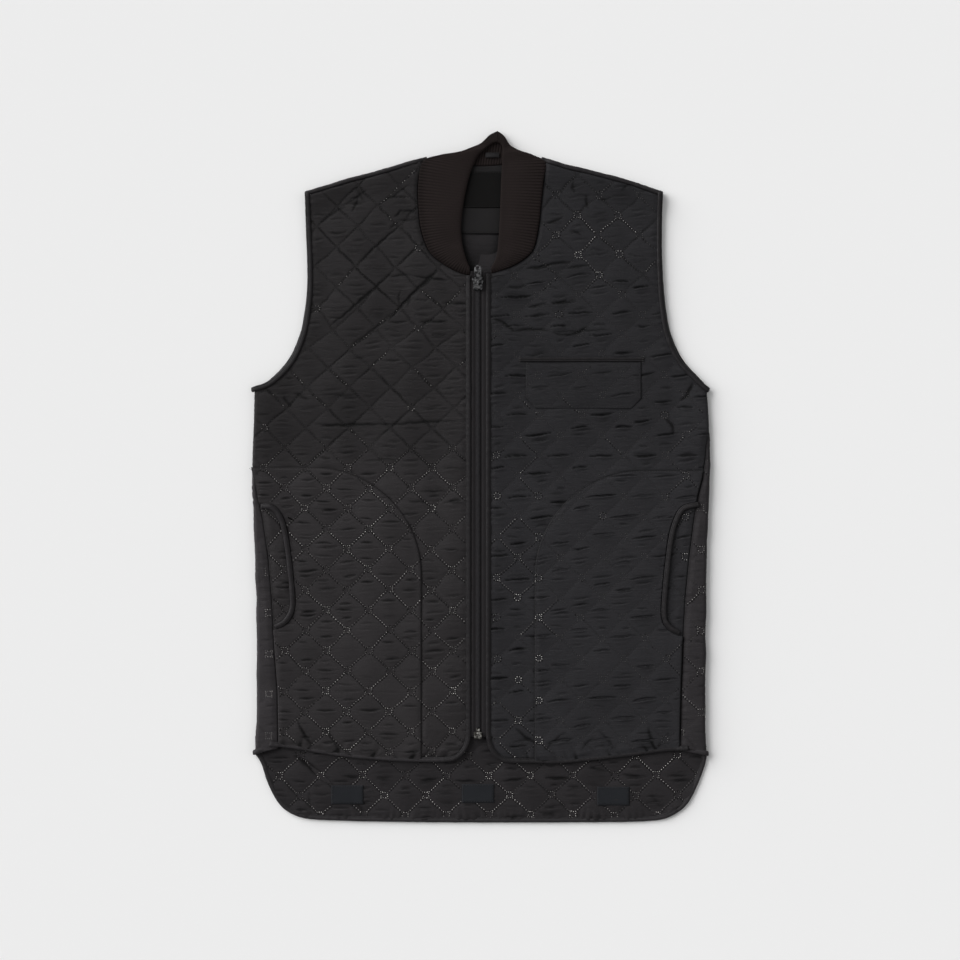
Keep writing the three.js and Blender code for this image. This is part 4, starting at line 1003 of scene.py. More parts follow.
class Finish:
    """One procedural material on a Principled shader."""

    def __init__(self, name, **settings):
        self.material = bpy.data.materials.new(name)
        self.material.use_nodes = True
        self.tree = self.material.node_tree
        self.tree.nodes.clear()
        self.shader = self.node("ShaderNodeBsdfPrincipled", inputs=settings)
        self.node("ShaderNodeOutputMaterial", inputs={"Surface": self.shader.outputs[0]})

    def node(self, kind, settings=None, inputs=None):
        """A node of a kind, with its settings, and values or links on its sockets."""
        node = self.tree.nodes.new(kind)
        for key, value in (settings or {}).items():
            setattr(node, key, value)
        self.connect(node, inputs or {})
        return node

    def connect(self, node, inputs):
        """Links or sets a node's sockets, found by name or by number."""
        for key, value in inputs.items():
            if isinstance(value, Value):
                value = value.socket
            if isinstance(value, bpy.types.NodeSocket):
                self.tree.links.new(value, node.inputs[key])
            else:
                node.inputs[key].default_value = value

    def value(self, node, output=0):
        """A node's output as a Value."""
        return Value(self.tree, node.outputs[output])

    def attribute(self, name):
        """A number kept at each point of the mesh."""
        return self.value(self.node("ShaderNodeAttribute", {"attribute_name": name}), "Fac")

    def stretched(self, place, stretch):
        """A place times the stretch along each axis."""
        return self.node("ShaderNodeMapping", inputs={"Vector": place, "Scale": stretch}).outputs[0]

    def cloth_place(self, stretch=(1, 1, 1)):
        """Place on the flat cloth, in metres times the stretch."""
        return self.stretched(self.node("ShaderNodeUVMap", {"uv_map": "cloth"}).outputs[0], stretch)

    def object_place(self, stretch=(1, 1, 1)):
        """Place in the object, in metres times the stretch."""
        return self.stretched(self.node("ShaderNodeTexCoord").outputs["Object"], stretch)

    def noise(self, place, scale, detail=2.0, roughness=0.5):
        """Cloudy noise from 0 to 1, with scale lumps to the metre."""
        return self.value(self.node("ShaderNodeTexNoise", inputs={
            "Vector": place, "Scale": scale, "Detail": detail, "Roughness": roughness}))

    def mix(self, factor, a, b):
        """Colour a where factor is 0, b where it is 1."""
        return self.node("ShaderNodeMix", {"data_type": "RGBA"}, {0: factor, 6: a, 7: b}).outputs[2]

    def weave(self, place, pitch, twill=0.0):
        """Threads that cross: the larger of two rows of rounded ridges, each the size of a sine."""
        parts = self.node("ShaderNodeSeparateXYZ", inputs={"Vector": place})
        x, y = self.value(parts, 0), self.value(parts, 1)
        k = math.pi / (pitch * 0.001)
        warp = ((x + y * twill) * k).sine().math("ABSOLUTE")
        weft = ((y - x * twill) * k).sine().math("ABSOLUTE")
        return warp.most(weft)

    def finish(self, color, roughness, height, bump, strength):
        """Links what varies to the shader, and returns the material."""
        bumps = self.node("ShaderNodeBump", inputs={
            "Height": height, "Distance": bump, "Strength": strength})
        self.connect(self.shader, {"Base Color": color, "Normal": bumps.outputs[0]})
        if roughness is not None:
            self.connect(self.shader, {"Roughness": roughness})
        return self.material


def linear(color, gain=1.0):
    """A colour times a gain, at most 1, and opaque."""
    return tuple(min(1.0, c * gain) for c in color[:3]) + (1.0,)


def shell_finish(name, color, painted_light_gain, roughness=0.46):
    """Satin shell cloth: fine weave, level micro creases, painted shade in seams and creases, and painted
    light that brightens it by a factor where its shade says so."""
    f = Finish(name, **{"IOR": 1.42, "Specular IOR Level": 0.13})
    cloth = f.cloth_place()
    slow = f.noise(f.cloth_place((1, 1.6, 1)), 9, 3)
    drag = f.noise(f.cloth_place((0.35, 2.2, 1)), 120, 4, 0.6)
    tone = (slow * 0.5 + drag * 0.5).clamped()
    # The shade attribute is painted light, which brightens the cloth by the gain.
    shade = f.attribute("shade").clamped()
    body = f.mix(tone, f.mix(shade, linear(color, 0.78), linear(color, 0.78 * painted_light_gain)),
                 f.mix(shade, linear(color, 1.22), linear(color, 1.22 * painted_light_gain)))
    # Painted shade: darker in the seams and creases.
    dark = (f.attribute("groove") * 0.85 + f.attribute("crease") * 0.9).clamped()
    body = f.mix(dark, body, linear(color, 0.18))
    height = drag * 0.75 + f.weave(cloth, 0.42, 0.5) * 0.10 + f.noise(cloth, 420, 2) * 0.15
    rough = roughness - 0.10 + slow * 0.2
    return f.finish(body, rough, height, 0.0013, 0.6)


def binding_finish(name, color):
    """Folded satin tape: weave across it, small pulls, painted shade in its stitched groove, and painted
    light where its shade says so.
    """
    f = Finish(name, **{"IOR": 1.45, "Specular IOR Level": 0.13})
    cloth = f.cloth_place()
    pull = f.noise(f.cloth_place((1, 0.35, 1)), 330, 3)
    # The shade attribute is painted light.
    shade = f.attribute("shade")
    body = f.mix(pull, f.mix(shade, linear(color, 0.8), linear(color, 1.4)),
                 f.mix(shade, linear(color, 1.3), linear(color, 2.3)))
    # Painted shade in the stitched groove.
    body = f.mix((f.attribute("groove") * 0.75).clamped(), body, linear(color, 0.25))
    height = pull * 0.7 + f.weave(cloth, 0.35) * 0.15
    return f.finish(body, 0.34 + pull * 0.16, height, 0.0008, 0.6)


def rib_finish(name, color):
    """Rib knit: painted shade between the ribs and along the collar's edges, with rows of small loops
    across each rib.
    """
    f = Finish(name, **{"IOR": 1.3, "Specular IOR Level": 0.12, "Sheen Weight": 0.04,
                        "Sheen Roughness": 0.6, "Sheen Tint": (0.7, 0.5, 0.45, 1)})
    cloth = f.cloth_place()
    fuzz = f.noise(cloth, 900, 3)
    slow = f.noise(cloth, 25, 2)
    body = f.mix((slow * 0.6 + fuzz * 0.4).clamped(), linear(color, 0.75), linear(color, 1.3))
    # Painted shade between the ribs and along the edges.
    body = f.mix((f.attribute("groove") * 0.85).clamped(), body, linear(color, 0.2))
    height = f.weave(cloth, 0.9, 0.6) * 0.6 + fuzz * 0.4
    return f.finish(body, 0.72 + fuzz * 0.2, height, 0.0004, 0.7)


def woven_finish(name, color, pitch=0.5, roughness=0.7, twill=0.0):
    """Plain woven cloth: crossing threads, slow changes of tone, and painted shade where its groove and
    crease say.
    """
    f = Finish(name, **{"IOR": 1.35, "Specular IOR Level": 0.2, "Sheen Weight": 0.02})
    cloth = f.cloth_place()
    slow, fine = f.noise(cloth, 30, 3), f.noise(cloth, 700, 2)
    weave = f.weave(cloth, pitch, twill)
    tone = (slow * 0.5 + weave * 0.3 + fine * 0.2).clamped()
    body = f.mix(tone, linear(color, 0.7), linear(color, 1.3))
    # Painted shade.
    dark = (f.attribute("groove") * 0.7 + f.attribute("crease") * 0.6).clamped()
    body = f.mix(dark, body, linear(color, 0.3))
    return f.finish(body, roughness - 0.06 + fine * 0.12, weave * 0.7 + fine * 0.3, 0.00025, 0.7)


def thread_finish(name, dark, bright):
    """Twisted thread whose brightness is set stitch by stitch. On the quilting that is painted glints,
    and the needle holes take its dark end as painted shadow.
    """
    f = Finish(name, **{"IOR": 1.45, "Specular IOR Level": 0.2})
    fine = f.noise(f.object_place(), 1500, 2)
    shade = f.attribute("shade")
    body = f.mix(shade, linear(dark), linear(bright))
    return f.finish(body, 0.38 + fine * 0.2, fine, 0.0001, 0.6)


def coil_finish(name, color):
    """Moulded nylon: smooth, with rubbed highlights."""
    f = Finish(name, **{"IOR": 1.5, "Specular IOR Level": 0.35})
    fine = f.noise(f.object_place(), 600, 3)
    body = f.mix(fine, linear(color, 0.8), linear(color, 1.4))
    return f.finish(body, 0.28 + fine * 0.16, fine, 0.0001, 0.4)


def metal_finish(name, dark, bright, worn=0.42):
    """Plated metal, brushed, and bright in random patches that are partly wear and partly painted
    highlights.
    """
    f = Finish(name, **{"Metallic": 1.0})
    wear_and_glint = f.noise(f.object_place((1, 1, 1)), 260, 4, 0.6)
    brush = f.noise(f.object_place((14, 1, 14)), 200, 2)
    # Bright patches: partly wear, partly painted highlights.
    body = f.mix(((wear_and_glint - worn) * 5).clamped(), linear(dark), linear(bright))
    return f.finish(body, 0.22 + wear_and_glint * 0.2, brush * 0.6 + wear_and_glint * 0.4, 0.00012, 0.5)


def floor_finish(name, color):
    """Smooth matt paper with the faintest tooth."""
    f = Finish(name, **{"IOR": 1.3, "Roughness": 0.95, "Specular IOR Level": 0.1})
    tooth = f.noise(f.object_place(), 900, 2)
    return f.finish(f.mix(tooth, linear(color, 0.995), linear(color, 1.0)), None, tooth, 0.00005, 0.15)


FINISHES = {  # the function, and the name, colours and numbers that it takes
    # The number after each shell's colour is how far painted light brightens it where its shade says so.
    "right_shell": (shell_finish, "satin_shell_right", "shell_right", 1.33),
    "left_shell": (shell_finish, "satin_shell_left", "shell_left", 1.22),
    "tail_shell": (shell_finish, "satin_shell_tail", "tail", 1.75, 0.5),
    "binding": (binding_finish, "satin_binding", "binding"),
    "rib": (rib_finish, "rib_knit", "collar"),
    "lining": (woven_finish, "plain_lining", "lining", 0.4, 0.5),
    "label": (woven_finish, "woven_label", "label", 0.5, 0.75),
    "patch": (woven_finish, "woven_patch", "patch", 0.6, 0.6, 0.5),
    "zip_tape": (woven_finish, "zip_tape_weave", "zip_tape", 0.9, 0.75, 1.0),
    "coil": (coil_finish, "nylon_coil", "coil"),
    "metal": (metal_finish, "gunmetal", "metal_dark", "metal_bright"),
    "brass": (metal_finish, "worn_plate", "plate_dark", "plate_bright", 0.52),
    "quilting": (thread_finish, "quilting_thread", "thread_dark", "thread_bright"),
    "topstitch": (thread_finish, "topstitch_thread", "binding", "topstitch"),
    "floor": (floor_finish, "studio_floor", "floor"),
}
_finishes = {}


def finish_of(name):
    """The named finish, made the first time it is asked for from the panel's colours."""
    if name not in _finishes:
        make, label, *how = FINISHES[name]
        scene = bpy.context.scene
        colours = {key: getattr(group, key) for group in (scene.vest_colours, scene.vest_stage)
                   for key in group.__annotations__}
        _finishes[name] = make(label, *(colours[key] if isinstance(key, str) else key for key in how))
    return _finishes[name]


# ---- pieces -------------------------------------------------------------------------------

def front_plan(side):
    """A front's flat cloth as a grid: hem, zip edge with neck, side seam with armhole, shoulder."""
    edge = offset(front_edge(side), CLOTH_IN_TAPE)
    turn = 1 + len(front_corner(side)) // 2
    neck = offset(neck_line(side), -SEAM)
    shoulder = offset(shoulder_points(side), SEAM)[::-1]
    inner = np.concatenate([edge[:turn + 1][::-1], neck[neck[:, 0] > edge[0, 0] + 0.4], shoulder[:1]])
    hem = edge[turn:]
    hem = hem[hem[:, 0] < seam_out(side, hem[-1, 1]) - 0.6]
    y = np.linspace(hem[-1, 1] + 0.8, 103, 60)
    arm = offset(armhole(side), CLOTH_IN_TAPE)
    arm = arm[(arm[:, 1] > 108) & (arm[:, 1] < shoulder[-1, 1] - 0.8)]
    outer = np.concatenate([hem[-1:], np.stack([seam_out(side, y) - SEAM / 2, y], 1), arm, shoulder[-1:]])
    return coons(hem, shoulder, inner, outer, *GRID["front"])


def pocket_plan(side):
    """A pocket's cloth as level rows from its straight or round edge out to its seam or opening."""
    edge, top = POCKET_EDGE[side], POCKET_TOP[side]
    foot = hem_y(side, 170) + CLOTH_IN_TAPE
    cols, rows = GRID["pocket"]
    t = np.linspace(0, 1, rows)
    y = foot + (top - foot) * (1 - (1 - t) ** 1.08)
    rise = np.clip(y - (top - POCKET_RADIUS), 0, POCKET_RADIUS)
    low = edge + POCKET_RADIUS - np.sqrt(np.maximum(POCKET_RADIUS**2 - rise**2, 0))
    opening = hand_opening(side)
    order = np.argsort(opening[:, 1])
    notch = np.interp(y, opening[order, 1], opening[order, 0], left=1e3, right=1e3)
    high = np.minimum(seam_out(side, y) - SEAM / 2, notch)
    plan = rows_between(y, low, high, cols)
    fade = 1 - smoothstep(plan[..., 1], foot, foot + 40)
    drop = hem_y(side, plan[..., 0]) + CLOTH_IN_TAPE - foot
    plan[..., 1] += drop * fade
    return plan


def pocket_surface(side):
    """Lift and shading of a pocket: level with the front at its seams, fuller in the middle."""
    outline = signed(side, pocket_outline(side))
    outline = outline[(outline[:, 1] > -312) | (np.arange(len(outline)) < 1)]
    opening = signed(side, hand_opening(side))

    def surface(out, y):
        """The front's quilting, held down along the seams and the mouth by smooth steps, with painted
        shade along the seams, on the right stronger near the top.
        """
        x = side * out
        height, groove, crease = front_base(side, x, y)
        near, mouth = distance_to(x, y, outline), distance_to(x, y, opening)
        lift = 3.2 + 0.85 * height
        roll = smoothstep(np.where(mouth < 8, np.maximum(near, 5), near), 0, 7)
        clear = smoothstep(mouth, 4, 8)
        ridge = (0.3 if side == RIGHT else 0.1) * clear * bell(near - 3.2, 1.4)
        low = smoothstep(y - hem_y(side, out) - TAPE_WIDTH, -1, 4)
        lift = 2.95 + (lift - 2.95) * (0.15 + 0.85 * roll) * low + ridge
        dark = (0.3 + 0.5 * smoothstep(y, POCKET_TOP[side] - 75, POCKET_TOP[side] - 20)
                if side == RIGHT else 1.1) * clear
        groove = np.maximum(groove * roll, dark * bell(near, 1.3))
        return lift, groove, crease * roll
    return surface


def strip_surface(side):
    """Lift and shading of the back where it turns up round the side on to the front."""
    name = side_name(side) + "_strip"

    def surface(out, y):
        """Quilting and gathers, flattened by smooth steps at the seam and under the fold, with painted
        shade along the seam and in the gathers' hollows.
        """
        x = side * out
        lift, groove, crease = quilted(
            x, y, name, pillow=0.45, falling=0.2, rising=0.2, main=0.0, soft=0.5)
        wave, hollow = puckers(y, out - seam_out(side, y), 10, 35 + side)
        lift = 2.25 + lift + 0.35 * ripple(x, y, 50, 33) + 0.4 * wave
        under = smoothstep(out - side_edge(side, y) + FOLD, 0.6 * math.pi * FOLD, math.pi * FOLD)
        lift = lift * (1 - under) + np.minimum(lift, QUILT) * under
        near = np.abs(out - seam_out(side, y))
        roll = 0.25 + 0.75 * smoothstep(near, -1, 8)
        groove = np.maximum(groove, 0.7 * bell(near, 1.9))
        return 0.7 + (lift - 0.7) * roll, groove, (crease + 0.5 * hollow) * roll
    return surface


def strip_plan(side):
    """The turned-up side: rows from the table round the fold to the side seam."""
    foot = -323.5
    cols, rows = GRID["strip"]
    y = np.linspace(foot, 103, rows)
    low = seam_out(side, y) + SEAM / 2
    plan = rows_between(y, low, side_edge(side, y) - FOLD + math.pi * FOLD, cols)
    slope = smoothstep(plan[..., 1], foot, -290)
    plan[..., 1] += (1 - slope) * np.interp(plan[..., 0], (234, 256, 264, 276), (3.5, -1.5, -3.5, 0))
    return plan


def back_outline():
    """Edges of the back that lies on the table: tail, right side, top, and left side."""
    halves = {}
    for side in (RIGHT, LEFT):
        tail = offset(tail_line(side), -CLOTH_IN_TAPE)
        tail = tail[tail[:, 1] < -326]
        turn = int(np.argmin(np.abs(tail[:, 1] + 383)))
        y = np.linspace(-324, 100, 50)
        sides = np.stack([side_edge(side, y) - FOLD, y], 1)
        arm = offset(armhole(side, 1), CLOTH_IN_TAPE)
        arm = arm[(arm[:, 1] > 112) & (arm[:, 1] < 326)]
        first, last = SHOULDER[side][-2, 0] - 6, neck_line(side)[-1, 0] + 3
        out = np.linspace(first, last, 24)
        shoulder = offset(np.stack([out, shoulder_y(side, out)], 1), FOLD)
        halves[side] = (signed(side, tail[turn:]), signed(side, np.concatenate(
            [tail[:turn + 1][::-1], sides, arm, shoulder[:1]])), signed(side, shoulder))
    bottom = np.concatenate([halves[RIGHT][0], halves[LEFT][0][::-1]])
    neck = back_neck(-SEAM)[::-1]
    top = np.concatenate([halves[RIGHT][2], neck, halves[LEFT][2][::-1]])
    return bottom, top, halves[RIGHT][1], halves[LEFT][1]


def underside(x, y):
    """Lift of the back's outer face over the table: flat pillows, with the seams drawn up."""
    height, groove, crease = quilted(
        x, y, "back", pillow=1.1, falling=0.9, rising=0.9, main=0.15, soft=0.6)
    return np.clip(1.0 - height, 0, 1.6), groove, crease


# Main creases of the tail: x0, y0, x1, y1, bow, half width, depth.
TAIL_CREASES = [
    (-220, -330, -176, -367, -2.0, 3.0, 1.6), (-164, -355, -141, -357, 0.5, 1.5, 1.0),
    (-125, -358, -109, -359, 0.3, 1.4, 0.7), (-73, -360, -52, -358, 0.5, 1.6, 0.9),
    (-31, -361, -4, -361, 0.5, 1.6, 1.2), (25, -360.5, 51, -358, 0.6, 1.6, 1.2),
    (75, -357, 103, -357.6, 0.7, 1.8, 1.5), (166, -353.5, 187, -354, 0.4, 1.5, 1.0),
    (228, -360, 248, -360, 0.3, 1.6, 0.7), (68, -398, 88, -402, 1.0, 2.2, 0.7),
    (-150, -388, -138, -398, 0.6, 1.5, 0.8), (-206, -374, -204, -394, 1.5, 1.6, 0.7),
    (-232, -362, -218, -380, 2.0, 2.0, 0.6), (100, -372, 122, -367, -0.6, 1.4, 0.6),
    (128, -345, 150, -349, 0.6, 1.4, 0.6), (200, -378, 214, -392, 1.5, 1.6, 0.6),
]


def under_collar(x, y):
    """The shade that the collar throws on what lies under its free edges, deepest at the front."""
    edges = [distance_to(x, y, signed(side, spline(COLLAR[side][:, 2:], 6))) for side in (RIGHT, LEFT)]
    deep = bell(edges[0], 4.5) + 0.8 * bell(edges[1], 6.5)
    return 0.8 * deep + 0.85 * smoothstep(-y, -300, -245)


def lining_surface(x, y):
    """Lift of the back's inner face: soft diamonds on the tail, smooth under the neck, with painted shade
    in its seams and creases and under the collar's edges.
    """
    tail = 1 - smoothstep(y, -300, -200)
    seams = 0.05 + 0.4 * tail
    height, groove, crease = quilted(x, y, "tail", pillow=0.2 + 0.7 * tail, falling=seams, rising=seams,
                                     main=0.35 * tail, soft=0.9 * tail, uneven=0.9 * tail)
    extra, shade = main_creases(x, y, TAIL_CREASES)
    wave, hollow = puckers(x, y - TAIL_BOTTOM - TAPE_WIDTH, 9, 55)
    if np.min(y) > 0:
        groove = groove + under_collar(x, y)
    return (2.1 + height + extra + 0.6 * tail * wave + 0.3 * ripple(x, y, 70, 53), groove,
            crease + shade + tail * 0.6 * hollow)


def smooth_surface(lift, edge=2.5, wave=0.1, seed=61):
    """A plain piece: even lift with soft waves, thinner along its border, with a line of painted shade
    just inside it.
    """
    def surface(x, y):
        """A smooth step up from the border of the grid."""
        rows, cols = x.shape
        r, c = np.mgrid[0:rows, 0:cols]
        step_y = np.abs(y[-1].mean() - y[0].mean()) / max(rows - 1, 1)
        step_x = np.abs(x[:, -1].mean() - x[:, 0].mean()) / max(cols - 1, 1)
        near = np.minimum(np.minimum(r, rows - 1 - r) * step_y, np.minimum(c, cols - 1 - c) * step_x)
        height = lift * (0.55 + 0.45 * smoothstep(near, 0, edge)) + wave * ripple(x, y, 30, seed)
        return height, 0.5 * bell(near - 1.6, 0.7), 0 * x
    return surface


def rectangle_plan(x0, x1, y0, y1, step):
    """An even grid between two corners, with points about a step apart."""
    cols, rows = int((x1 - x0) / step) + 2, int((y1 - y0) / step) + 2
    return np.stack(np.meshgrid(np.linspace(x0, x1, cols), np.linspace(y0, y1, rows)), -1)


def centred_plan(rectangle, step):
    """The grid of a rectangle given by its middle and its two sides."""
    x, y, wide, high = rectangle
    return rectangle_plan(x - wide / 2, x + wide / 2, y - high / 2, y + high / 2, step)


def make_fronts():
    """The two quilted fronts."""
    made = []
    for name, side in SIDES.items():
        plan = front_plan(side)
        # The front's tone is painted light over its lower half.
        made.append(sheet_piece(
            name + "_front_cloth", plan, on_front(side), lambda out, y: front_surface(side, out, y),
            name + "_shell", "shell_cloth", name + "_front", under=-0.5, rings=7,
            tone=front_painted_light(side, plan[..., 0], plan[..., 1])))
    return made


def make_back():
    """The back with its tail, its turned-up sides and shoulders, and its inner face."""
    back, area = Piece("back_cloth"), 0.0
    bottom, top, right, left = back_outline()
    plan = coons(bottom, top, right, left, *GRID["back"])
    area += closed_sheet(back, plan, on_table, underside, under=2.0, down=True)
    for side in (RIGHT, LEFT):
        # The strips' tone is painted light, much more on the right.
        area += closed_sheet(back, strip_plan(side), on_front(side), strip_surface(side), under=0.2,
                             tone=0.85 if side == RIGHT else 0.2)
        place = on_shoulder(side)
        first, last = SHOULDER[side][-2, 0] - 3, neck_line(side)[-1, 0] + SHOULDER_SEAM / 2
        turn = math.pi * FOLD + SHOULDER_SEAM - FOLD - SEAM / 2
        grid = np.stack(np.meshgrid(np.linspace(last - 7, first, 96), np.linspace(0, turn, 18)), -1)

        def tucked(out, s, lift):
            """Lies lower as it goes in under the collar."""
            points = place(out, s, lift)
            points[..., 2] *= 0.5 + 0.5 * smoothstep(out, last - 5, last + 7)
            return points

        def roll(out, s):
            """Lift round the shoulder fold: gathered along its seam, and lower beside it. Painted shade
            darkens all of it, more along its seam.
            """
            fall = 0.55 + 0.45 * smoothstep(turn - s, -1, 4)
            gathers = puckers(out, turn - s, 11, 72)[0]
            lift = QUILT - 0.5 + 0.25 * ripple(side * out, s, 26, 71) + 0.3 * gathers
            lift = np.where(s < 1.2 * FOLD, QUILT, lift)
            return 0.8 + (lift - 0.8) * fall, 0.25 + 0.4 * bell(turn - s, 1.3), 0 * out
        area += closed_sheet(back, grid, tucked, roll, under=0.2, rings=5)
    made = back.make("tail_shell", "shell_cloth", "back_panel")
    inner = Piece("back_inner_face")
    low = closed_sheet(inner, resample_grid(plan[:TAIL_ROWS], *GRID["tail"]), on_table, lining_surface,
                       under=1.9)
    low += closed_sheet(inner, rectangle_plan(-66, 72, 226, 372, 2.2), on_table, lining_surface,
                        under=1.9)
    return (made, area), (inner.make("tail_shell", "shell_cloth"), low)


def resample_grid(grid, cols, rows):
    """A grid read again at other numbers of rows and columns."""
    r = np.linspace(0, grid.shape[0] - 1, rows)[:, None] + np.zeros(cols)
    c = np.linspace(0, grid.shape[1] - 1, cols)[None] + np.zeros((rows, 1))
    return lookup(grid, r, c)


def make_pockets():
    """The two patch pockets and the pipings of their hand openings."""
    made = {}
    for name, side in SIDES.items():
        plan = pocket_plan(side)
        # The pocket's tone is the same painted light as its front's.
        pocket, area = sheet_piece(
            name + "_pocket_cloth", plan, on_front(side), pocket_surface(side), name + "_shell",
            "shell_cloth", name + "_pocket", under=2.75, rings=6,
            tone=front_painted_light(side, plan[..., 0], plan[..., 1]))
        line = resample(signed(side, offset(hand_opening(side), SEAM + TAPE_WIDTH / 2)), 150)
        height = rest_height(line[:, 0], line[:, 1]) + QUILT + SEAM + 0.9
        ends = smoothstep(np.minimum(lengths(line), lengths(line)[-1] - lengths(line)), 0, 10)
        height = height - 1.2 * (1 - ends)
        # The pipings take painted light, most on the right.
        piping = tape_piece(
            name + "_piping", np.column_stack([line, height]), flat_across(line, left=side == RIGHT),
            name + "_pocket_piping", thick=3.0, seed=81 + side, light=0.55 if side == RIGHT else 0.1)
        made[name] = (pocket, area, piping)
    return made


def flap_surface(x, y):
    """Lift and shading of the chest pocket's flap: the front's quilting runs on, held flatter."""
    height, groove, crease = front_base(LEFT, x, y)
    near = distance_to(x, y, flap_outline())
    sides = smoothstep(y, FLAP[3], FLAP[3] + FLAP[4] + 4)
    roll = smoothstep(near, 0, 6)
    lift = 2.45 + 0.2 * sides + (0.4 * sides + 0.5 * height) * (0.25 + 0.75 * roll)
    # Painted shade along the flap's side edges, heavier on its left part.
    rim = np.where(x < 100, 1.0, 0.35) * sides * bell(near, 1.1)
    return lift, np.maximum(0.8 * groove, rim), 0.7 * crease * roll


def make_chest_pocket():
    """The chest pocket's flap, with the front's quilting running on over it, and its welt."""
    start, end, top, bottom, cut = FLAP
    cols, rows = GRID["flap"]
    y = np.linspace(bottom, top, rows)
    inset = np.clip(bottom + cut - y, 0, cut)
    plan = rows_between(y, start + inset, end - inset, cols)
    flap, area = sheet_piece("flap_cloth", plan, on_front(LEFT), flap_surface, "left_shell",
                             "shell_cloth", "chest_flap", under=2.2, rings=5)
    x0, x1, y0, y1 = WELT
    grid = rectangle_plan(x0, x1, y0, y1, 0.9)

    def lips(x, y):
        """Two half rounds, parted by a bell-shaped slit along the middle, with painted shade in the slit.
        """
        v = (y - (y0 + y1) / 2) / ((y1 - y0) / 2)
        end = smoothstep(np.minimum(x - x0, x1 - x), 0, 2.5)
        lift = 3.1 + end * (0.9 * np.sqrt(np.clip(1 - v * v, 0, 1)) - 0.75 * bell(v, 0.22))
        return lift + 0.06 * ripple(x, y, 12, 91), 1.2 * bell(v, 0.25), 0 * x
    welt, _ = sheet_piece("chest_welt_tape", grid, on_front(LEFT), lips, "binding", "binding_cloth",
                          "chest_welt", under=2.6, rings=4)
    return flap, area, welt


def make_bindings():
    """Tapes that bind the armholes, the fronts and the tail."""
    for name, side in SIDES.items():
        inward = lambda extra: signed(side, offset(resample(armhole(side, extra), 150), TAPE_WIDTH / 2))
        front, back = inward(0), inward(1)
        high = rest_height(front[:, 0], front[:, 1]) + QUILT / 2
        upper = np.column_stack([front, high])
        lower = np.column_stack([back, np.full(len(back), TAPE_THICK / 2 + 0.3)])[::-1]
        up_end, low_end = front[-1] - front[-3], front[0] - front[2]
        path = np.concatenate([
            upper, half_turn(upper[-1], lower[0], unit(up_end)), lower,
            half_turn(upper[0], lower[-1], unit(low_end))[::-1]])
        across = flat_across(front, left=side == RIGHT)
        hold = lambda row: np.repeat(row[None], 9, 0)
        turned = np.concatenate([across, hold(across[-1]), across[::-1], hold(across[0])])
        tape_piece(name + "_armhole_tape", path, turned, name + "_armhole_binding", closed=True,
                   seed=101 + side)
        line = offset(front_edge(side), TAPE_WIDTH / 2)
        past = line[-1] + np.linspace(0.1, 1, 8)[:, None] * (10.5, 0.6)
        line = signed(side, resample(np.concatenate([line, past]), 560))
        over = smoothstep(side * line[:, 0], past[0, 0] - 6, past[3, 0])
        path = np.column_stack([line, rest_height(line[:, 0], line[:, 1]) + QUILT / 2 + 0.9 * over])
        # Painted light along the right front's hem tape.
        light = 0.9 * smoothstep(side * line[:, 0], 30, 60) if side == RIGHT else 0.0
        tape_piece(name + "_front_tape", path, flat_across(line, left=side == LEFT),
                   name + "_front_binding", seed=111 + side, light=light)
    half = TAPE_WIDTH / 2
    tail = whole_tail(half)
    along = resample(tail, 430)
    stubs = {}
    for side in (RIGHT, LEFT):
        foot = column(HEM, side)[-1]
        start = np.array([side * (side_seam(side, foot) + 3 * SEAM), foot + half])
        corner = tail[0 if side == RIGHT else -1] + (0, 0.8)
        stub = start + np.linspace(0, 1, 14)[:, None] * (corner - start)
        under = 1.8 * smoothstep(np.arange(14), 12, 2)
        stubs[side] = np.column_stack([stub, rest_height(stub[:, 0], stub[:, 1]) + QUILT / 2 - under])
    low = np.column_stack([along, np.full(len(along), TAPE_THICK / 2)])
    outward = lambda side: np.array([side * 1.0, -0.25]) / math.hypot(1, 0.25)
    path = np.concatenate([
        stubs[RIGHT], half_turn(stubs[RIGHT][-1], low[0], outward(RIGHT)), low,
        half_turn(stubs[LEFT][-1], low[-1], outward(LEFT))[::-1], stubs[LEFT][::-1]])
    inward = flat_across(along, left=True)
    up = np.repeat(np.array([[0, 1.0, 0]]), 23, 0)
    blend = np.linspace(0, 1, 12)[:, None]
    inward[:12] = (1 - blend) * up[0] + blend * inward[:12]
    inward[-12:] = blend[::-1] * inward[-12:] + (1 - blend[::-1]) * up[0]
    # The tail tape takes painted light.
    tape_piece("tail_tape", path, np.concatenate([up, inward, up]), "tail_binding", seed=121, light=0.8)


COLLAR_PROFILE = np.array([  # share of the width, height over the underside
    (0, 1.7), (0.02, 2.6), (0.06, 3.2), (0.12, 3.6), (0.25, 4.3), (0.45, 4.9), (0.62, 5.0),
    (0.75, 4.85), (0.86, 4.6), (0.93, 4.2), (0.97, 3.6), (0.99, 2.9), (1.0, 2.0)])


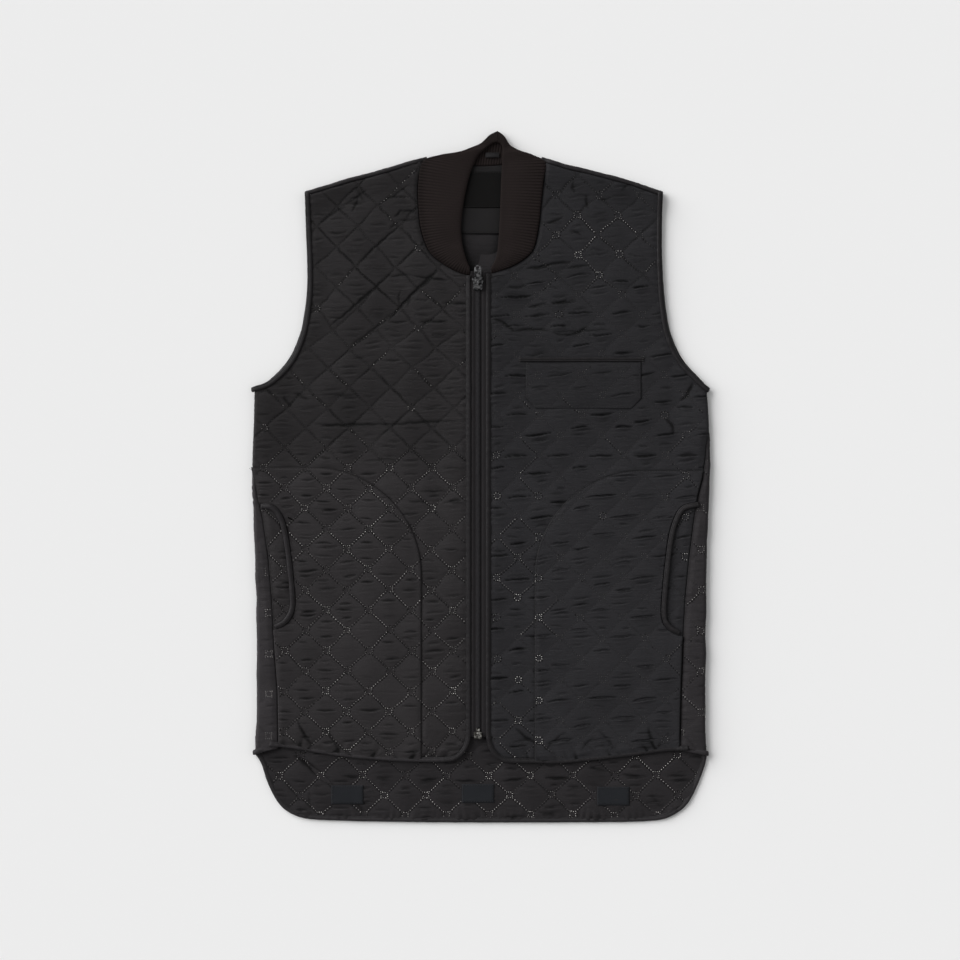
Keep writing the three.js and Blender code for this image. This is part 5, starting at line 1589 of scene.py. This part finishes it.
def make_collar():
    """The doubled rib collar: two sides that fold over behind the neck, and the stand."""
    collar, area = Piece("rib_collar"), 0.0
    for side in (RIGHT, LEFT):
        line = spline(COLLAR[side], 40)
        s = lengths(line[:, :2])
        rows = np.linspace(0, s[-1], GRID["collar"][1])
        line = resample(line, len(rows), s)
        seam, edge = line[:, :2], line[:, 2:]
        steps = np.linspace(0, 1, len(COLLAR_PROFILE))
        share = np.interp(np.linspace(0, 1, GRID["collar"][0]), steps, COLLAR_PROFILE[:, 0])
        body = np.interp(share, COLLAR_PROFILE[:, 0], COLLAR_PROFILE[:, 1])
        width = np.linalg.norm(edge - seam, axis=1)
        rib = rows / setting("rib_pitch")
        # The rib groove is painted shade too, fading towards the free edge; the rim is painted shade
        # along the right side's seam and the left side's free edge.
        groove = bell(rib % 1 - 0.5, 0.17)[:, None] * (0.2 + 0.8 * (1 - share[None]) ** 1.5)
        far = (1 - share) if side == LEFT else share
        rim = (0.45 if side == LEFT else 0.55) * bell(far[None] * width[:, None], 5.5)
        thin = np.clip(width / 24, 0.45, 1)[:, None]
        lift = body[None] * (0.55 + 0.45 * thin) - 0.5 * groove * np.clip(body[None] / 3, 0, 1)
        lift = lift + 0.25 * ripple(rows[:, None], 40 * share[None], 46, 131)
        plan = seam[:, None] * (1 - share[None, :, None]) + edge[:, None] * share[None, :, None]
        plan = plan * (side, 1.0)
        top = np.concatenate([plan, (COLLAR_LOW + np.clip(lift, 0.6, None))[..., None]], -1)
        lower = plan[:, [0, 4, 13, 22, 25]]
        low = np.concatenate([lower, np.full((*lower.shape[:2], 1), COLLAR_LOW)], -1)
        low[:, [0, -1], 2] += 0.6
        loop = np.concatenate([top, low[:, ::-1]], 1)
        n = loop.shape[1]
        faces = tube_faces(len(rows), n)
        if side == LEFT:
            faces = [f[:, ::-1] for f in faces]
        flat = np.stack([np.repeat(rows[:, None], n, 1),
                         np.concatenate([share, share[[25, 22, 13, 4, 0]]])[None] * width[:, None]], -1)
        pad = np.zeros((len(rows), 5))
        collar.add(loop, faces, flat=flat, groove=np.concatenate([groove + rim, pad], 1))
        area += float((width[:-1] * np.diff(rows)).sum()) * 1e-6
    top = [signed(side, np.concatenate([[(foot, 377)], COLLAR[side][NECK_SECTIONS:, :2]]))
           for side, foot in ((RIGHT, 67.4), (LEFT, 73))]
    cols, rows = GRID["stand"]
    crest = resample(np.concatenate([top[0], top[1][::-1][1:]]), cols)
    neck = resample(back_neck(SEAM)[::-1], cols)

    def stand(x, y):
        """Ribs, with a bell-shaped groove between each two, which is also painted shade."""
        s = np.linspace(0, 1, x.shape[1]) * 146 / setting("rib_pitch")
        groove = bell(s % 1 - 0.5, 0.18)[None] + 0 * x
        return 4.3 - 0.45 * groove, groove, 0 * x
    area += closed_sheet(collar, between(neck, crest, rows), on_table, stand, under=0.3, rings=4)
    return collar.make("rib", "rib_knit", "collar"), area


def facing_line(inset, count):
    """The facing's lower edge, moved in by the inset: an oval on which the fourth powers of the
    shares across and down add up to 1."""
    x, y, half, drop = FACING
    a = np.linspace(math.pi, 0, count)
    square = (np.cos(a) ** 4 + np.sin(a) ** 4) ** -0.25
    return np.stack([x + (half - inset) * square * np.cos(a), y - (drop - inset) * square * np.sin(a)], 1)


def make_neck_trims():
    """Facing, label and hanger loop inside the back of the neck, and the patches on the tail."""
    half, drop = FACING[2:]
    cols, rows = GRID["facing"]
    plan = between(facing_line(0, cols), resample(back_neck(-2 * SEAM)[::-1], cols), rows)

    def smooth(x, y):
        """Even lift that falls off at the facing's edge, with painted shade along that edge and under the
        collar.
        """
        near = (((x - FACING[0]) / half) ** 4 + ((y - FACING[1]) / drop) ** 4) ** 0.25
        edge = np.clip(1 - near, 0, 1) * drop
        lift = 3.3 + 0.8 * smoothstep(edge, -1.5, 1.5) + 0.12 * ripple(x, y, 34, 141)
        return lift, 0.9 * bell(edge - 1.0, 0.7) + under_collar(x, y), 0 * x
    made = {"facing": sheet_piece("neck_facing_cloth", plan, on_table, smooth, "lining",
                                  "lining_cloth", "back_neck_facing", under=3.2, rings=5)}
    flat = smooth_surface(0.55, 1.2, 0.06, 143)
    # The label takes the painted shade under the collar.
    made["label"] = sheet_piece(
        "neck_label_cloth", centred_plan(LABEL, 1.2), on_table,
        lambda x, y: (4.35 + flat(x, y)[0], under_collar(x, y), 0 * x),
        "label", "label_cloth", "neck_label", under=4.3, rings=5)
    even = smooth_surface(0.6, 2.2, 0.12, 145)
    for name, middle in PATCHES.items():
        made["patch_" + name] = sheet_piece(
            "tail_patch_" + name, centred_plan((*middle, *PATCH_SIZE), 1.1), on_table,
            lambda x, y: (3.25 + even(x, y)[0], *even(x, y)[1:]),
            "patch", "patch_cloth", "hem_patch_" + name, under=2.6, rings=5)
    x0, x1, ly, wide = LOOP
    s = np.linspace(0, 1, 40)
    path = np.stack([x0 + (x1 - x0) * s, np.full(40, ly), 5.25 + 0.9 * np.sin(math.pi * s)], 1)
    tape_piece("hanger_tape", path, np.repeat([[0, 1.0, 0]], 40, 0), "hanger_loop", width=wide,
               thick=1.1, seed=151, pull=0.5)
    return made


def spread_at(y):
    """How far the coils stand apart round the slider's post."""
    return 1.6 * smoothstep(y, 225, 232)


def make_zip():
    """Zip tapes, coils of single teeth, and the metal parts."""
    tapes = {}
    base = QUILT + AIR + ZIP_RISE + 0.4
    for name, side in SIDES.items():
        y = np.linspace(-308, 244, 232)
        inner = ZIP_X + side * (spread_at(y) + 0.15)
        outer = np.full(len(y), side * (FRONT_EDGE[side] + 1.4))
        low, high = (outer, inner) if side == RIGHT else (inner, outer)

        def surface(x, y):
            """A cord beside the teeth, with a hollow on each side of it: three bells. The hollows get
            painted shadow.
            """
            near = np.abs(x - ZIP_X - side * spread_at(y))
            cord = bell(near - 6.2, 1.1)
            shadow = bell(near - 3.7, 1.0) + 0.5 * bell(near - 9.0, 1.2)
            return 1.0 + 0.5 * cord + 0.05 * ripple(x, y, 14, 161), shadow, 0 * x
        tapes[name] = sheet_piece(
            name + "_zip_weave", rows_between(y, low, high, 14), lambda x, y, l: on_table(x, y, base + l),
            surface, "zip_tape", "zip_tape", name + "_zip_tape", rings=3)
        pitch = setting("tooth_pitch")
        count = int((ZIP_TOP - ZIP_FOOT) / pitch)
        ys = ZIP_FOOT + 0.6 + np.arange(count) * pitch + (0.5 * pitch if side == LEFT else 0)
        ys = ys[ys < ZIP_TOP - 0.3]
        turn = np.arange(6) * math.pi / 3
        ring = np.stack([0 * turn, 0.5 * np.cos(turn), 0.85 * np.sin(turn)], -1)
        stations = ((-2.3, 0.7), (-0.9, 1.0), (0.42, 0.8))
        tooth = np.stack([ring * (1, scale, scale) + (-x, 0, base + 2.3) for x, scale in stations])
        faces = [copies(f, len(ring) * len(stations), len(ys))
                 for f in tube_faces(len(stations), len(ring))]
        placed = tooth.reshape(1, -1, 3) * (side, 1, 1)
        placed = placed + np.stack([ZIP_X + side * spread_at(ys), ys, 0 * ys], 1)[:, None]
        coil = Piece(name + "_coil_teeth")
        if side == LEFT:
            faces = [f[:, ::-1] for f in faces]
        coil.add(placed, faces)
        coil.make("coil", "zip_coil", name + "_zip_coil", sharp=50)
    for node in ("zip_slider", "zip_pull_tab", "zip_box", "zip_pin", "right_top_stop", "left_top_stop"):
        body = "pull_tab" if node == "zip_pull_tab" else "vest"
        smooth_copy(node, body, "brass" if node in ("zip_box", "zip_pin") else "metal",
                    0.1 if "stop" in node or "pin" in node else setting("metal_rounding"))
    return tapes


def smooth_copy(node, body, finish, radius):
    """A metal part: the solid's own form, welded and with its edges rounded."""
    mesh = frame["nodes"][node].data.copy()
    mesh.name = node + "_metal"
    mesh.materials.clear()
    made = bpy.data.objects.new(node + "_metal", mesh)
    bpy.context.scene.collection.objects.link(made)
    weld = made.modifiers.new("weld", "WELD")
    weld.merge_threshold = 0.00002
    bevel = made.modifiers.new("round", "BEVEL")
    bevel.width, bevel.segments, bevel.limit_method = radius * 0.001, 2, "ANGLE"
    bevel.angle_limit, bevel.use_clamp_overlap = math.radians(32), True
    dg = bpy.context.evaluated_depsgraph_get()
    final = bpy.data.meshes.new_from_object(made.evaluated_get(dg))
    made.modifiers.clear()
    made.data = final
    final.polygons.foreach_set("use_smooth", np.full(len(final.polygons), True))
    final.set_sharp_from_angle(angle=math.radians(38))
    final.materials.clear()
    final.materials.append(finish_of(finish))
    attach(made, body)
    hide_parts(node)
    return made


def brightness(side, points, share, kind, rng):
    """How bright each stitch of the quilting is painted. These are painted glints: the thread catches
    light over the lower right front, beside the zip, on the left shoulder and down the left pocket's
    edge, run by run."""
    x, y, ring = points[:, 0], points[:, 1], kind == 1
    if side == RIGHT:
        base = 0.01 + 0.62 * (1 - smoothstep(y, 2, 48)) * (0.8 + 0.3 * ripple(x, y, 90, 171))
        base = base * (0.2 + 1.1 * share**1.6) * np.where(ring, 0.95, 1.0)
        sparkle = 0.9 * (share > 0.9) * (y > 20)
    else:
        shoulder = np.exp(-(((x - 150) / 58) ** 2 + ((y - 282) / 40) ** 2))
        zip_side = 0.8 * bell(x - 34, 24) * (1 - smoothstep(y, 10, 40))
        pocket_edge = bell(x - 70, 10) * (1 - smoothstep(y, -80, -40))
        fold_side = 0.6 * bell(x - 245, 18) * (y < 80)
        spots = np.maximum.reduce([shoulder, zip_side, pocket_edge, fold_side])
        spots = spots * np.choose(kind, (0.35 + 0.35 * (y > 200), 1.15, 0.6, 0.9))
        base = 0.01 + 0.03 * ring + 0.035 * share**2 + 0.75 * spots * np.clip(2.6 * share - 0.9, 0, 1.2)
        sparkle = 0.5 * (share > 0.93) * (y > -60)
    sparkle = sparkle * (rng.random(len(points)) > 0.4)
    base = np.maximum(base, 0.35 * sparkle) * np.where(kind == 3, 1.3, 1.0)
    return np.clip(base * (0.35 + 1.2 * rng.random(len(points))), 0, 1)


def make_quilting():
    """The thread of the quilting, stitch by stitch, on everything that faces up, with painted glints and,
    beside the bright stitches, the needle holes' painted shadows.
    """
    rng = np.random.default_rng(7)
    bright = bpy.context.scene.vest_colours.thread_share

    def add(piece, side, shown, dots, shade, surface, place):
        """The stitches, and the needle holes beside those that catch light, on a surface: the holes are
        painted shadows.
        """
        points, direction, _, kind = dots
        shown = shown & ((kind != 2) | (shade > 0.06))
        points, direction, hole, shade = (a[shown] for a in (points, direction, kind == 2, shade))
        x, y = points[:, 0], points[:, 1]
        lift = surface(side * x, y)[0]
        spots, above = place(side * x, y, lift + 0.15), place(side * x, y, lift + 1.0)
        beads(piece, spots, above - spots, np.column_stack([direction, 0 * x]),
              np.where(hole[:, None], setting("hole"), setting("stitch")),
              np.where(hole, 0, 0.008 + bright * shade))

    for name, side in SIDES.items():
        piece = Piece(name + "_quilting")
        box = (-262, -12, -334, 372) if side == RIGHT else (5, 262, -336, 372)
        dots = points, _, share, kind = quilting_dots(name + "_front", box)
        outline = signed(side, np.concatenate([
            offset(front_edge(side), TAPE_WIDTH + 0.8), seam_points(side) - (1.5, 0),
            offset(armhole(side), TAPE_WIDTH + 0.8)[6:], shoulder_points(side) - (0, 2),
            neck_line(side)[::-1] + (1.6, -1.6)]))
        x, y = points[:, 0], points[:, 1]
        pocket = signed(side, pocket_outline(side))
        mouth = signed(side, offset(hand_opening(side), SEAM + TAPE_WIDTH / 2))
        clear = (inside(x, y, outline) & (distance_to(x, y, mouth) > 3.6)
                 & (distance_to(x, y, pocket) > 1.0))
        on_pocket = inside(x, y, pocket)
        layers = [(~on_pocket, lambda o, v, s=side: front_surface(s, o, v)),
                  (on_pocket, pocket_surface(side))]
        if side == LEFT:
            flap = flap_outline()
            on_flap = inside(x, y, flap)
            clear &= (distance_to(x, y, flap) > 1.3) & ~within(x, y, WELT, 1)
            layers[0] = (~on_pocket & ~on_flap, layers[0][1])
            layers.append((on_flap, flap_surface))
        shade = brightness(side, points, share, kind, rng)
        for mask, surface in layers:
            add(piece, side, mask & clear, dots, shade, surface, on_front(side))
        piece.make("quilting")

    piece = Piece("tail_quilting")
    dots = points, _, share, kind = quilting_dots("tail", (-262, 262, -406, -318))
    x, y = points[:, 0], points[:, 1]
    keep = inside(x, y, whole_tail(TAPE_WIDTH))
    for px, py in PATCHES.values():
        keep &= (np.abs(x - px) > PATCH_SIZE[0] / 2 + 1) | (np.abs(y - py) > PATCH_SIZE[1] / 2 + 1)
    # Painted glints, brighter on some runs.
    shade = (0.09 + 1.4 * share**2) * (0.45 + 0.8 * rng.random(len(x)))
    add(piece, 1, keep, dots, shade, lining_surface, on_table)
    for name, side in SIDES.items():
        box = (-285, -238, -326, 100) if side == RIGHT else (232, 285, -326, 100)
        dots = points, _, share, kind = quilting_dots(name + "_strip", box)
        x, y = points[:, 0], points[:, 1]
        out = side * x
        keep = (out > seam_out(side, y) + 2) & (out < side_edge(side, y) + 8) & (
            y > np.interp(out, (234, 262), (-312, -322)))
        # Painted glints: the rings and run ends brighter, the rest of the runs too on the left, all
        # dimmer higher up.
        bright_run = 0.8 * share**2 if side == LEFT else 0.08 * share
        shade = np.where(kind % 2 == 1, 0.2 + 0.4 * share, bright_run)
        shade = shade * (0.3 + 0.7 * (1 - smoothstep(y, -60, 20)))
        shade = shade * (0.4 + 0.8 * rng.random(len(x)))
        add(piece, side, keep, dots, shade, strip_surface(side), on_front(side))
    piece.make("quilting")


def stitch_line(piece, line, height, pitch=None, size=(0.95, 0.3, 0.28), shade=0.35):
    """A row of topstitches: one long bead at each pitch along a line in plan."""
    count = max(2, int(lengths(line)[-1] / (pitch or setting("topstitch_pitch"))))
    even = resample(line, count)
    along = np.gradient(even, axis=0)
    spots = np.column_stack([even, height(even[:, 0], even[:, 1])])
    beads(piece, spots, np.repeat([[0, 0, 1.0]], count, 0), np.column_stack([along, np.zeros(count)]),
          size, shade)


def make_topstitching():
    """Rows of stitches beside the pocket seams, on flap, welt, label, patches and facing."""
    piece = Piece("topstitching")
    for side in (RIGHT, LEFT):
        surface = pocket_surface(side)
        stitch_line(piece, signed(side, offset(pocket_outline(side)[:44], -1.7)),
                    lambda x, y: rest_height(x, y) + surface(side * x, y)[0] + 0.1)
    stitch_line(piece, resample(flap_outline(1.8, 1.4, 0.7)[:-1], 200),
                lambda x, y: rest_height(x, y) + flap_surface(x, y)[0] + 0.05, shade=0.1)
    for x in (WELT[0] + 1.2, WELT[1] - 1.2):
        for dx in (-0.6, 0, 0.6):
            line = np.array([(x + dx, WELT[2] - 0.5), (x + dx, WELT[3] + 0.5)])
            stitch_line(piece, line, lambda x, y: rest_height(x, y) + 3.9, 1.3, (0.6, 0.32, 0.3), 0.7)
    frame = np.array([(-1, -1), (1, -1), (1, 1), (-1, 1), (-1, -1)])
    for cx, cy, w, h, z in [(*LABEL, 5.0)] + [(*xy, *PATCH_SIZE, 3.85) for xy in PATCHES.values()]:
        line = frame * (w / 2 - 1.5, h / 2 - 1.5) + (cx, cy)
        stitch_line(piece, resample(line, 160), lambda x, y: 0 * x + z, shade=0.1)
    stitch_line(piece, facing_line(1.6, 90), lambda x, y: 0 * x + 4.1, shade=0.3)
    piece.make("topstitch")


# ---- properties, operators and panel ------------------------------------------------------

def shade_property(name, description, default):
    """A colour for the panel, in linear light."""
    return bpy.props.FloatVectorProperty(
        name=name, description=description, default=default, min=0, max=1, size=3, subtype="COLOR")


class VestColours(bpy.types.PropertyGroup):
    shell_right: shade_property(
        "Right shell", "Satin cloth of the wearer's right front", (0.0186, 0.0170, 0.0178))
    shell_left: shade_property(
        "Left shell", "Satin cloth of the wearer's left front", (0.0176, 0.0171, 0.0189))
    tail: shade_property("Tail", "Cloth of the back and its tail", (0.0198, 0.0180, 0.0193))
    binding: shade_property("Binding", "Folded tapes along the edges", (0.0136, 0.0125, 0.0134))
    collar: shade_property("Collar", "Rib knit", (0.0146, 0.0111, 0.0108))
    lining: shade_property("Facing", "Smooth cloth inside the neck", (0.0085, 0.0077, 0.0081))
    label: shade_property("Label", "Woven neck label", (0.0020, 0.0018, 0.0017))
    patch: shade_property("Patches", "Reinforcing patches on the tail", (0.0112, 0.0123, 0.0148))
    zip_tape: shade_property("Zip tape", "Woven tape of the zip", (0.0188, 0.0171, 0.0182))
    coil: shade_property("Coil", "Nylon teeth of the zip", (0.0240, 0.0226, 0.0246))
    # The second colour of each metal shows in random patches that are partly wear and partly painted
    # highlights.
    metal_dark: shade_property("Metal", "Plated metal of slider and pull", (0.012, 0.012, 0.013))
    metal_bright: shade_property("Worn metal", "Metal where it is rubbed bright", (0.20, 0.20, 0.205))
    plate_dark: shade_property("Box and pin", "Plated metal at the zip's foot", (0.055, 0.052, 0.047))
    plate_bright: shade_property("Worn box", "The same where it is rubbed bright", (0.80, 0.78, 0.74))
    # The needle holes are painted shadows in the dark colour; the bright one is the stitches' painted
    # glint.
    thread_dark: shade_property("Needle holes", "Holes beside the stitches", (0.0026, 0.0023, 0.0025))
    thread_bright: shade_property(
        "Thread in light", "Quilting thread where it catches light", (0.86, 0.83, 0.80))
    topstitch: shade_property("Topstitching", "Thread of the seams", (0.050, 0.047, 0.048))
    thread_share: bpy.props.FloatProperty(
        name="Thread brightness", description="How strongly the quilting thread catches light",
        default=1.0, min=0, max=1, subtype="FACTOR")


def size_property(name, description, default, size=1):
    """A size, or a row of sizes, for the panel."""
    kind = bpy.props.FloatVectorProperty if size > 1 else bpy.props.FloatProperty
    more = {"size": size} if size > 1 else {}
    return kind(name=name, description=description, default=default, min=0, precision=3, **more)


class VestSizes(bpy.types.PropertyGroup):
    relief: size_property("Quilting relief", "Height of the quilting against that of plain pillows", 1.25)
    # The creases' darkness is painted shade.
    crease_shade: size_property("Crease shade", "How dark the creases in the quilting are", 1.1)
    stitch: size_property("Quilting stitch", "Half of its three sizes in mm", (0.53, 0.52, 0.42), 3)
    # The needle holes are dark beads that paint the shadow beside each bright stitch.
    hole: size_property("Needle hole", "Half of its three sizes in mm", (1.15, 0.85, 0.34), 3)
    topstitch_pitch: size_property("Topstitch pitch", "From one topstitch to the next, in mm", 3.1)
    rib_pitch: size_property("Rib pitch", "From one rib of the collar to the next, in mm", 3.7)
    tooth_pitch: size_property("Tooth pitch", "From one tooth of a coil to the next, in mm", 1.45)
    metal_rounding: size_property("Metal rounding", "Rounded edge of slider, pull and box, in mm", 0.28)


class VestStage(bpy.types.PropertyGroup):
    floor: shade_property("Floor", "Pale paper under the vest", (0.826, 0.826, 0.826))
    key: size_property("Key light", "Strength of the soft light from the upper left", 4.70)
    fill: size_property("Fill light", "Strength of the light from the right", 0.25)
    sky: size_property("Room light", "Strength of the even light all round", 0.36)
    reach: bpy.props.FloatProperty(
        name="Frame width", description="Width that the camera takes in at the vest", default=1.1376,
        min=0.1, unit="LENGTH")
    lens: bpy.props.FloatProperty(
        name="Lens", description="Focal length of the camera in millimetres", default=85, min=20)


class VEST_OT_fronts(bpy.types.Operator):
    """Makes the two quilted fronts"""
    bl_idname = "vest.fronts"
    bl_label = "Fronts"

    def execute(self, context):
        for front, area in make_fronts():
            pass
        return {"FINISHED"}


class VEST_OT_back(bpy.types.Operator):
    """Makes the back with its turned-up sides and shoulders, and its inner face"""
    bl_idname = "vest.back"
    bl_label = "Back"

    def execute(self, context):
        (back, area), (inner, low) = make_back()
        return {"FINISHED"}


class VEST_OT_pockets(bpy.types.Operator):
    """Makes the patch pockets with their pipings, and the chest pocket"""
    bl_idname = "vest.pockets"
    bl_label = "Pockets"

    def execute(self, context):
        for name, (pocket, area, piping) in make_pockets().items():
            name + "_front_cloth"
        flap, area, welt = make_chest_pocket()
        return {"FINISHED"}


class VEST_OT_bindings(bpy.types.Operator):
    """Makes the folded tapes along armholes, fronts and tail"""
    bl_idname = "vest.bindings"
    bl_label = "Bindings"

    def execute(self, context):
        make_bindings()
        return {"FINISHED"}


class VEST_OT_neck(bpy.types.Operator):
    """Makes the rib collar, the facing, the label, the hanger loop and the tail's patches"""
    bl_idname = "vest.neck"
    bl_label = "Collar and trims"

    def execute(self, context):
        collar, area = make_collar()
        sizes = {"facing": (0.122, 0.083), "label": (0.0662, 0.0432)}
        for key, (trim, area) in make_neck_trims().items():
            sizes.get(key, (0.0382, 0.0222))
        return {"FINISHED"}


class VEST_OT_zip(bpy.types.Operator):
    """Makes the zip's tapes, teeth and metal parts"""
    bl_idname = "vest.zip"
    bl_label = "Zip"

    def execute(self, context):
        for name, (tape, area) in make_zip().items():
            name + "_front_cloth"
        return {"FINISHED"}


class VEST_OT_stitching(bpy.types.Operator):
    """Makes the quilting thread and the topstitching"""
    bl_idname = "vest.stitching"
    bl_label = "Stitching"

    def execute(self, context):
        make_quilting()
        make_topstitching()
        return {"FINISHED"}


class VEST_OT_stage(bpy.types.Operator):
    """Makes the floor, the lights and the camera straight above the vest"""
    bl_idname = "vest.stage"
    bl_label = "Stage"

    def execute(self, context):
        stage = context.scene.vest_stage
        bpy.ops.mesh.primitive_plane_add(size=80, location=(0, 0, -0.0002))
        floor = context.active_object
        floor.name = "studio_floor"
        floor.data.transform(floor.matrix_world)
        floor.data.materials.append(finish_of("floor"))
        world = bpy.data.worlds.new("studio")
        world.use_nodes = True
        world.node_tree.nodes["Background"].inputs["Color"].default_value = (1, 1, 1, 1)
        world.node_tree.nodes["Background"].inputs["Strength"].default_value = stage.sky
        context.scene.world = world
        for name, (spread, tilt, turn) in LIGHTS.items():
            light = bpy.data.lights.new(name, "SUN")
            light.energy, light.angle = getattr(stage, name), math.radians(spread)
            lamp = bpy.data.objects.new(name, light)
            lamp.rotation_euler = (math.radians(-tilt), 0, math.radians(turn))
            context.scene.collection.objects.link(lamp)
        camera = bpy.data.cameras.new("camera")
        camera.lens = stage.lens
        camera.clip_end = 100
        eye = bpy.data.objects.new("camera", camera)
        eye.location = (*AIM[:2], AIM[2] + stage.reach * stage.lens / camera.sensor_width)
        context.scene.collection.objects.link(eye)
        context.scene.camera = eye
        context.scene.view_settings.view_transform = "Standard"
        return {"FINISHED"}


STEPS = (VEST_OT_back, VEST_OT_fronts, VEST_OT_pockets, VEST_OT_bindings, VEST_OT_neck,
         VEST_OT_zip, VEST_OT_stitching, VEST_OT_stage)


class VEST_PT_panel(bpy.types.Panel):
    """Lists the vest's colours, its stage and the steps that build it"""
    bl_idname = "VEST_PT_panel"
    bl_label = "Vest"
    bl_space_type = "VIEW_3D"
    bl_region_type = "UI"
    bl_category = "Vest"

    def draw(self, context):
        for group in (context.scene.vest_sizes, context.scene.vest_colours, context.scene.vest_stage):
            box = self.layout.box()
            for key in group.__annotations__:
                box.prop(group, key)
        for step in STEPS:
            self.layout.operator(step.bl_idname)


GROUPS = {"vest_sizes": VestSizes, "vest_colours": VestColours, "vest_stage": VestStage}
CLASSES = (*GROUPS.values(), *STEPS, VEST_PT_panel)


def register():
    """Registers the classes and hangs the property groups on the scene."""
    for cls in CLASSES:
        bpy.utils.register_class(cls)
    for name, group in GROUPS.items():
        setattr(bpy.types.Scene, name, bpy.props.PointerProperty(type=group))


def unregister():
    """Takes the property groups and the classes away again."""
    for name in GROUPS:
        delattr(bpy.types.Scene, name)
    for cls in reversed(CLASSES):
        bpy.utils.unregister_class(cls)


def main():
    """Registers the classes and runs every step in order."""
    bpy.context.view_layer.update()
    register()
    for step in STEPS:
        getattr(bpy.ops.vest, step.bl_idname.split(".")[1])()
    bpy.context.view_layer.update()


if __name__ == "__main__":
    main()
